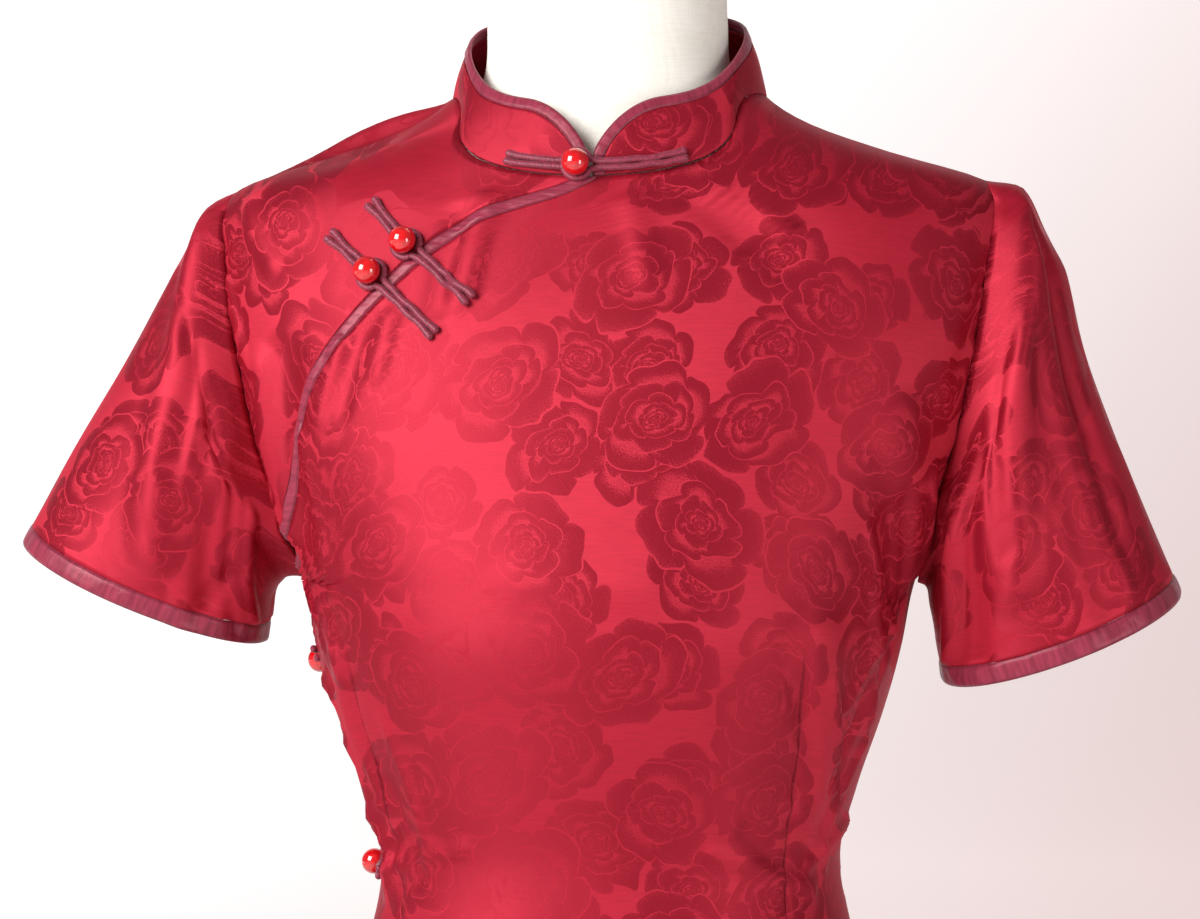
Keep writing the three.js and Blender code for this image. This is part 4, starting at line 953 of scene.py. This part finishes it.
def tube(points, radius, sides, squash, ups):
    """Rings round a line of points, with rounded ends; returns points and quads."""
    along = unit(np.gradient(points, axis=0))
    side = unit(np.cross(along, ups))
    up = np.cross(side, along)
    radius = radius[:, None]
    rings = []
    for a in np.linspace(0, 2 * math.pi, sides, endpoint=False):
        rings.append(points + side * radius * math.cos(a) + up * radius * squash * math.sin(a))
    grid = np.stack(rings, 1)
    rounded = []
    for end, outward in ((0, -1), (-1, 1)):
        for share, reach in ((0.02, 0.6), (0.55, 0.45)):
            ring = lerp(points[end], grid[end], share)
            rounded.append(ring + outward * along[end] * radius[end] * reach)
    first_tip, first, last_tip, last = rounded
    grid = np.concatenate([[first_tip], [first], grid, [last], [last_tip]])
    return grid.reshape(-1, 3), grid_faces(len(grid), sides, True)


def join(name, parts):
    """One object from several (points, quads)."""
    points, faces, start = [], [], 0
    for part_points, part_faces in parts:
        points.append(part_points)
        faces.append(part_faces + start)
        start += len(part_points)
    points, faces = np.concatenate(points), np.concatenate(faces)
    return mesh_object(name, points, faces, points[faces][..., [0, 2]] * MILLIMETRE)


def loop_round_bead(at, normal, along, sideways, sign):
    """Half the loop: from the far side of the bead back to where the two rows meet."""
    angles = np.linspace(math.pi * 0.985, 0.24, count(22))[:-1]
    return np.array([at + along * LOOP_REACH * math.cos(a) + sideways * sign * LOOP_REACH * math.sin(a)
                     + normal * (STRIP_LIFT + CORD * 0.42) for a in angles])


def frog_strip(name, part, bead, end, chart, collared):
    """Two rows of round cord side by side, from the bead to one end of a frog."""
    is_loop = part == "loop"
    at, normal = chart(*bead), outward_on(chart, *bead)
    length = float(np.linalg.norm(chart(*end) - at))
    t = np.concatenate([[4.4 / length], np.linspace(5.2 / length, 1.0, count(70))])
    middle = bead + (end - bead) * t[:, None]
    centre, up = chart(middle[:, 0], middle[:, 1]), outward_on(chart, middle[:, 0], middle[:, 1])
    along = unit(np.gradient(centre, axis=0))
    sideways = unit(np.cross(up, along))
    run = t * length
    # the loop's strip, and both on the collar, start on the raised bound edge
    foot = STRIP_FOOT + 0 * run
    if is_loop or collared:
        raised = 60.0 if collared else 15.0
        foot = lerp(STRIP_FOOT, STRIP_LIFT, 1 - smooth((run - raised) / 6))
    rise = foot + CORD * 0.44
    if is_loop:
        # the two rows part round the bead
        spread = CORD * 0.5 + 0.15 * np.sin(run * 0.5) + 0.9 * np.exp(-((run - 6.0) / 2.6) ** 2)
    else:
        spread = CORD * 0.5 + 0.1 * np.sin(run * 0.45 + 1)
    flare = smooth((run - (length - 7)) / 7)
    spread = spread * (1 + 0.35 * flare)
    shows = int(np.argmax(run > (LOOP_REACH + 1.6 if is_loop else 4.6)))
    rows = []
    for sign in (-1, 1):
        wander = 0.18 * np.sin(run * 0.33 + sign * 1.3 + len(name))
        line = centre + sideways * (sign * spread + wander)[:, None] + up * rise[:, None]
        radius = CORD / 2 * (1 + 0.035 * np.sin(run * 3.1 + sign) + 0.22 * flare)
        line, radius, ups = line[shows:], radius[shows:], up[shows:]
        if is_loop:
            arc = loop_round_bead(at, normal, along[0], sideways[0], sign)
            line = np.concatenate([arc, line])
            radius = np.concatenate([np.full(len(arc), CORD / 2 * 0.94), radius])
            ups = np.concatenate([np.tile(normal, (len(arc), 1)), ups])
        rows.append(tube(line, radius, CORD_SIDES, 0.9, ups))
    return join(f"{name}_{part}_cord", rows)


def bead_button(name, at, normal):
    """A round bead that stands on the strips, with its poles along the normal."""
    rings, sectors = count(26), count(40)
    side = unit(np.cross([0, 0, 1], normal))
    across = np.cross(normal, side)
    rise = BEAD / 2 + STRIP_LIFT
    points = [at + normal * (rise - BEAD / 2)]
    for a in np.linspace(0, math.pi, rings)[1:-1]:
        ring = BEAD / 2 * math.sin(a)
        centre = at + normal * (rise - BEAD / 2 * math.cos(a))
        for b in np.linspace(0, 2 * math.pi, sectors, endpoint=False):
            points.append(centre + side * ring * math.cos(b) + across * ring * math.sin(b))
    points.append(at + normal * (rise + BEAD / 2))
    quads = grid_faces(rings - 2, sectors, True, 1)
    k = np.arange(sectors)
    top = 1 + (rings - 3) * sectors
    foot = np.stack([0 * k, (k + 1) % sectors + 1, k + 1], -1)
    crown = np.stack([top + k, top + (k + 1) % sectors, 0 * k + top + sectors], -1)
    points = (np.array(points) + (CENTRE_X, 0, 0)) * MILLIMETRE
    mesh = bpy.data.meshes.new(name)
    mesh.from_pydata(points.tolist(), [], quads.tolist() + foot.tolist() + crown.tolist())
    mesh.polygons.foreach_set("use_smooth", [True] * len(mesh.polygons))
    mesh.validate()
    mesh.update()
    made = bpy.data.objects.new(name, mesh)
    bpy.context.scene.collection.objects.link(made)
    return made


def frog(name, bead, button, loop, chart, collared=False):
    """The strip that carries the button, the strip that ends in the loop, and the bead between them."""
    bead, button, loop = (np.array(place, float) for place in (bead, button, loop))
    return (frog_strip(name, "button", bead, button, chart, collared),
            frog_strip(name, "loop", bead, loop, chart, collared),
            bead_button(f"{name}_button_bead", chart(*bead), outward_on(chart, *bead)))


frogs = {"collar_frog": frog("collar_frog", *COLLAR_FROG, collar_point, True)}
for name, *places in CHEST_FROGS:
    frogs[name] = frog(name, *places, front_chart)
for name, strips_z, bead_z in SIDE_FROGS:
    middle = SIDE_AT * PER_DEGREE
    frogs[name] = frog(name, (middle, (strips_z + bead_z) / 2), (middle - SIDE_HALF, strips_z),
                       (middle + SIDE_HALF, strips_z), side_chart)

# ------------------------------------------------------------------ form


def linen_form():
    """The padded form, closed underneath and by a low dome on its neck."""
    low, hips, neck, brim = FORM["z"][[0, 1, -2, -1]]
    levels = np.concatenate([np.linspace(low, hips, 6), np.linspace(hips, neck, count(200))[1:],
                             np.linspace(neck, brim, 8)[1:]])
    turns = np.linspace(-180, 180, count(150), endpoint=False)
    grid = loft(FORM)(turns[None], levels[:, None])
    bottom, top = grid[0].mean(0), grid[-1].mean(0)
    under = [lerp(bottom, grid[0], t) for t in (0.02, 0.4, 0.8)]
    rise = (FORM_TOP - brim) / 0.98
    dome = [lerp(top, grid[-1], t) + (0, 0, (1.0 - t) * rise) for t in (0.9, 0.6, 0.3, 0.02)]
    grid = np.concatenate([np.stack(under), grid, np.stack(dome)])
    return join("linen_form", [(grid.reshape(-1, 3), grid_faces(*grid.shape[:2], True))])


form_object = linen_form()

# ------------------------------------------------------------------ materials


def add_node(tree, kind, settings=None, sockets=None):
    """One shader node: its settings first, then the values or links of its sockets."""
    node = tree.nodes.new("ShaderNode" + kind)
    for key, value in (settings or {}).items():
        setattr(node, key, value)
    for key, value in (sockets or {}).items():
        value = value.socket if isinstance(value, Value) else value
        if isinstance(value, bpy.types.NodeSocket):
            tree.links.new(value, node.inputs[key])
        else:
            node.inputs[key].default_value = value
    return node


class Value:
    """A number inside a shader, with ordinary operators."""

    def __init__(self, tree, socket):
        self.tree, self.socket = tree, socket

    def math(self, operation, *others, clamped=False):
        settings = {"operation": operation, "use_clamp": clamped}
        node = add_node(self.tree, "Math", settings, dict(enumerate((self, *others))))
        return Value(self.tree, node.outputs[0])

    def __add__(self, other):
        return self.math("ADD", other)

    __radd__ = __add__

    def __sub__(self, other):
        return self.math("SUBTRACT", other)

    def __rsub__(self, other):
        return (self * -1.0) + other

    def __mul__(self, other):
        return self.math("MULTIPLY", other)

    __rmul__ = __mul__

    def __truediv__(self, other):
        return self.math("DIVIDE", other)

    def power(self, n):
        return self.math("ABSOLUTE").math("POWER", n)

    def sin(self):
        return self.math("SINE")

    def wave(self):
        """A sine between 0 and 1."""
        return self.sin() * 0.5 + 0.5

    def clip(self):
        return self.math("ADD", 0.0, clamped=True)

    def below(self, other):
        return self.math("LESS_THAN", other)

    def ramp(self, low, high):
        """0 at low, 1 at high, smooth between."""
        t = ((self - low) / (high - low)).clip()
        return t * t * (3.0 - 2.0 * t)

    def mix(self, other, factor):
        return self + (other - self) * factor


def vector_parts(tree, socket):
    node = add_node(tree, "SeparateXYZ", sockets={0: socket})
    return [Value(tree, node.outputs[i]) for i in range(3)]


def combine(tree, x, y, z=0.0):
    return add_node(tree, "CombineXYZ", sockets={0: x, 1: y, 2: z}).outputs[0]


def cloth_place(tree):
    """Lengths across and along the cloth, in metres."""
    across, along, _ = vector_parts(tree, add_node(tree, "UVMap", {"uv_map": "cloth"}).outputs[0])
    return across, along


def object_place(tree):
    return add_node(tree, "TexCoord").outputs["Object"]


def attribute(tree, name):
    return Value(tree, add_node(tree, "Attribute", {"attribute_name": name}).outputs["Fac"])


def noise(tree, where, scale, rough=0.5, detail=2.0):
    sockets = {"Scale": scale, "Detail": detail, "Roughness": rough, "Vector": where}
    return Value(tree, add_node(tree, "TexNoise", sockets=sockets).outputs[0])


def rgba(colour):
    """A colour with its fourth value, or the link that gives it."""
    return colour if isinstance(colour, bpy.types.NodeSocket) else (*colour, 1.0)


def mix_colour(tree, factor, a, b):
    sockets = {0: factor, 6: rgba(a), 7: rgba(b)}
    return add_node(tree, "Mix", {"data_type": "RGBA"}, sockets).outputs[2]


def toned(colour, share):
    return tuple(channel * share for channel in colour)


def linear(code):
    """A colour from its six hexadecimal digits."""
    rgb = [int(code[i:i + 2], 16) / 255 for i in (0, 2, 4)]
    return tuple(c / 12.92 if c <= 0.04045 else ((c + 0.055) / 1.055) ** 2.4 for c in rgb)


def bump(tree, height, strength):
    """The normal from a height in metres."""
    sockets = {"Strength": strength, "Distance": 1.0, "Height": height}
    return add_node(tree, "Bump", sockets=sockets).outputs[0]


def principled(tree, colour, roughness, **values):
    """The shader of a surface. Other sockets are given by their names, with _ for a space."""
    sockets = {"Base Color": rgba(colour), "Roughness": roughness}
    sockets.update({key.replace("_", " "): value for key, value in values.items()})
    return add_node(tree, "BsdfPrincipled", sockets=sockets)


def new_material(name):
    material = bpy.data.materials.new(name)
    material.use_nodes = True
    material.node_tree.nodes.clear()
    return material, material.node_tree


def finished(material, shader):
    add_node(material.node_tree, "OutputMaterial", sockets={"Surface": shader.outputs[0]})
    return material


def rose_layer(tree, u, v, spacing, reach, seed):
    """Roses on loosely scattered centres. Petals are rows of overlapping scales that shrink towards
    the centre. Gives the tone of the weave, whether a place is in a rose, and the petals' outlines."""
    x, y = u / spacing + seed * 3.7, v / spacing + seed * 1.9
    cells = add_node(tree, "TexVoronoi", {"voronoi_dimensions": "2D", "feature": "F1"},
                     {"Scale": 1.0, "Randomness": 0.62, "Vector": combine(tree, x, y)})
    centre_x, centre_y, _ = vector_parts(tree, cells.outputs["Position"])
    chance, other, _ = vector_parts(tree, cells.outputs["Color"])
    # each rose is turned, and seen a little from one side
    dx = (x - centre_x) * (spacing / reach)
    dy = (y - centre_y) * (spacing / reach)
    dx = dx + dy * (chance * 0.7 - 0.35)
    size = other * 0.28 + 0.86
    radius = (dx * dx + dy * dy).power(0.5) / size
    row = radius.math("LOGARITHM", math.e) * -2.15
    around = (dy.math("ARCTAN2", dx) + chance * 6.2832) * (PETALS / (2 * math.pi)) + row * 0.22
    low = row.math("FLOOR")
    part = row - low

    def petal_edge(index):
        """How far the rounded edge of a petal of this row reaches out, 0 between petals."""
        local = (around + index * 0.43 + (index * 12.9 + other * 40.0).sin() * 0.13).math("FRACT") - 0.5
        return (1.0 - (local * local * 4.0).power(1.5)).power(0.5) * 0.62

    upper, lower = petal_edge(low + 1.0), petal_edge(low)
    depth_upper = part - 1.0 + upper
    on_upper = 1.0 - depth_upper.below(0.0)
    depth = (part + lower).mix(depth_upper, on_upper)
    index = low + on_upper
    inside = 1.0 - index.below(-0.5)
    tip = 1.0 - (depth * 1.15).clip()
    flip = (index * 7.3 + around.math("FLOOR") * 2.1 + other * 30.0).wave()
    tone = tip.mix(1.0 - tip * 0.8, flip.ramp(0.35, 0.65)) * 0.75 + 0.3
    wide = (radius * -9.0).math("EXPONENT") * 0.16 + 0.075
    heart = 1.0 - radius.ramp(0.05, 0.10)
    line = (1.0 - (depth / wide).ramp(0.55, 1.1)) * (1.0 - heart)
    return tone * inside, inside, line * inside


def satin_material(name, darts=False):
    """Red satin with roses in a darker, duller weave, and on the body the sunk seams of the darts, with
    painted shade along them.
    """
    material, tree = new_material(name)
    u, v = cloth_place(tree)
    place = combine(tree, u, v)
    # the drawing wanders a little, at the size of a petal and of its edge
    sway = noise(tree, place, 34.0, 0.55)
    sway_across = noise(tree, combine(tree, v, u, 4.0), 34.0, 0.55)
    drawn = u + (sway - 0.5) * 0.016, v + (sway_across - 0.5) * 0.016
    tone_large, in_large, line_large = rose_layer(tree, *drawn, *LARGE_ROSES)
    tone_small, in_small, line_small = rose_layer(tree, *drawn, *SMALL_ROSES)
    tone = tone_small.mix(tone_large, in_large)
    inside = in_large.math("MAXIMUM", in_small)
    line = line_small.mix(line_large, in_large)
    # the shading of the flowers is made of short weft floats in a broken twill
    grain = noise(tree, combine(tree, (u + v) * 900.0, (u - v) * 2100.0), 1.0, detail=1.0)
    weft = ((tone - (grain - 0.5) * 1.5 - 0.42) * 3.0 + 0.5).clip() * inside * (1.0 - line)
    slub = noise(tree, combine(tree, u * 90.0, v * 900.0), 1.0)
    uneven = noise(tree, place, 42.0)
    height = slub * 0.00005 + grain * 0.00005 + uneven * 0.0005
    red, rose = linear("b81d34"), linear("99162a")
    ground = mix_colour(tree, slub.ramp(0.3, 0.75), red, toned(red, 0.88))
    figure = mix_colour(tree, grain.ramp(0.35, 0.7), rose, toned(rose, 1.25))
    if darts:
        near, depth = attribute(tree, "dart"), attribute(tree, "dart_depth")
        # the dart's seam sinks in the bump, and both weaves are darkened along it: painted shade in the
        # crease
        seam = (near * near * -2.2).math("EXPONENT") * depth
        height = height - seam * 0.0006
        ground = mix_colour(tree, seam * 0.5, ground, toned(red, 0.2))
        figure = mix_colour(tree, seam * 0.5, figure, toned(red, 0.2))
    shared = {"Normal": bump(tree, height, 0.6), "Specular_IOR_Level": 0.5,
              "Specular_Tint": (1.0, 0.74, 0.8, 1.0)}
    warp_face = principled(tree, ground, 0.57, Metallic=0.45, Anisotropic=0.66, **shared)
    weft_face = principled(tree, figure, 0.58, Metallic=0.6, Anisotropic=0.60,
                           Anisotropic_Rotation=0.25, **shared)
    faces = {0: weft, 1: warp_face.outputs[0], 2: weft_face.outputs[0]}
    return finished(material, add_node(tree, "MixShader", sockets=faces))


def binding_material():
    """Burgundy satin cut on the bias, dragged a little where it rolls, with a sewn line by each edge, sunk
    and darkened with painted shade.
    """
    material, tree = new_material("burgundy binding")
    u, v = cloth_place(tree)
    threads = ((u + v) * 2 * math.pi * 1100.0).wave()
    tension = noise(tree, combine(tree, u * 60.0, v * 420.0), 1.0)
    drag = ((u * 0.6 + v) * 2 * math.pi * 95.0 + noise(tree, combine(tree, u, v), 90.0) * 9.0).sin()
    from_stitches = attribute(tree, "edge") - 0.7
    stitch_groove_and_shade = (from_stitches * from_stitches * -9.0).math("EXPONENT")
    height = threads * 0.00003 + tension * 0.00016 + drag * 0.00006 - stitch_groove_and_shade * 0.00012
    colour = mix_colour(tree, tension.ramp(0.25, 0.75), linear("983048"), linear("7a2036"))
    # painted shade: darker along the sewn line, in its groove
    colour = mix_colour(tree, stitch_groove_and_shade * 0.35, colour, linear("3d0f1b"))
    return finished(material, principled(
        tree, colour, 0.36, Normal=bump(tree, height, 0.7), Anisotropic=0.5, Specular_IOR_Level=0.5,
        Sheen_Weight=0.1, Specular_Tint=(1.0, 0.6, 0.6, 1.0)))


def cord_material():
    """Burgundy cord: the threads wind round it, and stand up here and there."""
    material, tree = new_material("burgundy cord")
    where = object_place(tree)
    x, y, z = vector_parts(tree, where)
    twist = ((x * 0.8 - z * 1.0 + y * 0.6) * 2 * math.pi * 900.0).wave()
    fray = noise(tree, where, 900.0)
    height = twist * 0.00012 + fray * 0.00012
    colour = mix_colour(tree, fray.ramp(0.3, 0.7), linear("932a44"), linear("6d1a30"))
    return finished(material, principled(
        tree, colour, 0.40, Normal=bump(tree, height, 0.7), Specular_IOR_Level=0.45, Sheen_Weight=0.15))


def bead_material():
    """Polished red, a little uneven in colour."""
    material, tree = new_material("red bead")
    swirl = noise(tree, object_place(tree), 240.0)
    colour = mix_colour(tree, swirl.ramp(0.3, 0.7), linear("e01018"), linear("c00a12"))
    return finished(material, principled(
        tree, colour, 0.12, Coat_Weight=1.0, Coat_Roughness=0.04, Specular_IOR_Level=0.6))


def linen_material():
    """Plain weave with thicker threads both ways."""
    material, tree = new_material("form linen")
    where = object_place(tree)
    x, y, z = vector_parts(tree, where)
    slow = noise(tree, where, 60.0)
    across = (z * 2 * math.pi * 900.0 + slow * 6.0).wave()
    up = ((x + y) * 2 * math.pi * 850.0 + slow * 5.0).wave()
    slub = noise(tree, combine(tree, (x + y) * 60.0, z * 900.0), 1.0)
    slub_up = noise(tree, combine(tree, (x - y) * 900.0, z * 60.0), 1.0)
    height = across * 0.00004 + up * 0.00004 + slub * 0.0001 + slub_up * 0.0001
    tone = (slub * 0.5 + slub_up * 0.5).ramp(0.3, 0.7)
    colour = mix_colour(tree, tone, linear("ece7dc"), linear("f5f1e8"))
    return finished(material, principled(
        tree, colour, 0.85, Normal=bump(tree, height, 0.8), Specular_IOR_Level=0.2))


def steel_material():
    """Steel brushed up and down."""
    material, tree = new_material("stand steel")
    x, y, z = vector_parts(tree, object_place(tree))
    brushed = noise(tree, combine(tree, x * 500.0, y * 500.0, z * 30.0), 1.0)
    return finished(material, principled(
        tree, linear("c4c6c8"), brushed * 0.12 + 0.24, Metallic=1.0,
        Normal=bump(tree, brushed * 0.00003, 0.4)))


satin = satin_material("red figured satin")
satin_body = satin_material("red figured satin with darts", darts=True)
bound, cord, bead_red = binding_material(), cord_material(), bead_material()
linen, steel = linen_material(), steel_material()

# ------------------------------------------------------------------ materials on the pieces, which take the model's parts' places


def finish_piece(made, material, node):
    made.data.materials.clear()
    made.data.materials.append(material)
    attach(made, "root")
    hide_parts(node)


for made, node in ((front, "front_main"), (back, "back_panel"), (yoke, "front_yoke_right")):
    finish_piece(made, satin_body, node)
for made, node in ((sleeve_right, "sleeve_right"), (sleeve_left, "sleeve_left"), (collar, "collar")):
    finish_piece(made, satin, node)
for made, node in ((cuff_right, "sleeve_binding_right"), (cuff_left, "sleeve_binding_left"),
                   (collar_binding, "collar_binding"), (placket, "placket_binding"),
                   (hem_front, "hem_binding_front"), (hem_back, "hem_binding_back")):
    finish_piece(made, bound, node)
finish_piece(form_object, linen, "dress_form")
for name, (button_strip, loop_strip, bead_piece) in frogs.items():
    finish_piece(button_strip, cord, f"{name}_button_strip")
    finish_piece(loop_strip, cord, f"{name}_loop_strip")
    finish_piece(bead_piece, bead_red, f"{name}_bead")
for name in ("stand_pole", "stand_base"):
    node = bpy.data.objects[name]
    for place in node.material_slots:
        place.material = steel
    for polygon in node.data.polygons:
        polygon.use_smooth = True

# ------------------------------------------------------------------ light and backdrop, in metres

ROOM_HALF, WALL_FROM, BEND = 14.0, 9.0, 3.0


def backdrop():
    """A pale floor that turns up into a wall, and shines a little by itself."""
    turn = np.linspace(0, math.pi / 2, 12)[1:]
    profile = [(-ROOM_HALF, 0.0), (WALL_FROM, 0.0)]
    profile += [(WALL_FROM + BEND * math.sin(t), BEND - BEND * math.cos(t)) for t in turn]
    profile += [(WALL_FROM + BEND, ROOM_HALF)]
    points = [(x, y, z) for y, z in profile for x in (-ROOM_HALF, ROOM_HALF)]
    mesh = bpy.data.meshes.new("backdrop")
    mesh.from_pydata(points, [], [(2 * i, 2 * i + 1, 2 * i + 3, 2 * i + 2) for i in range(len(profile) - 1)])
    mesh.polygons.foreach_set("use_smooth", [True] * len(mesh.polygons))
    made = bpy.data.objects.new("backdrop", mesh)
    bpy.context.scene.collection.objects.link(made)
    material, tree = new_material("backdrop")
    x, y, z = vector_parts(tree, object_place(tree))
    # painted shade: the wall's own light falls off to the right and low down, darker and warmer there
    shade = ((x + 4.1) * 0.156 + (2.2 - z) * 0.1).ramp(0.2, 1.05)
    wall = mix_colour(tree, shade, (0.90, 0.89, 0.89), (0.57, 0.44, 0.43))
    # dimmer within 3 m of the object, where its shadow falls, and full from 6 m
    glow = mix_colour(tree, (x * x + y * y).ramp(9.0, 36.0), (0.45, 0.44, 0.44), wall)
    paper = principled(tree, (0.5, 0.49, 0.49), 0.95, Emission_Color=glow, Emission_Strength=1.0)
    mesh.materials.append(finished(material, paper))


backdrop()


def area_light(name, place, target, size, power):
    lamp = bpy.data.lights.new(name, "AREA")
    lamp.shape, lamp.size, lamp.size_y = "RECTANGLE", size[0], size[1]
    lamp.energy = power
    made = bpy.data.objects.new(name, lamp)
    made.location = place
    direction = np.array(target, float) - np.array(place, float)
    tilt = math.atan2(direction[2], math.hypot(direction[0], direction[1]))
    made.rotation_euler = (math.pi / 2 + tilt, 0, math.atan2(-direction[0], direction[1]))
    bpy.context.scene.collection.objects.link(made)


area_light("key", (-1.65, -2.05, 2.25), (0, 0, 1.28), (1.6, 1.8), 111)
area_light("fill", (1.9, -1.6, 1.0), (0, 0, 1.2), (0.6, 1.2), 17)
world = bpy.data.worlds.new("room")
bpy.context.scene.world = world
world.use_nodes = True
background = world.node_tree.nodes["Background"]
background.inputs["Color"].default_value = (1, 1, 1, 1)
background.inputs["Strength"].default_value = 0.17
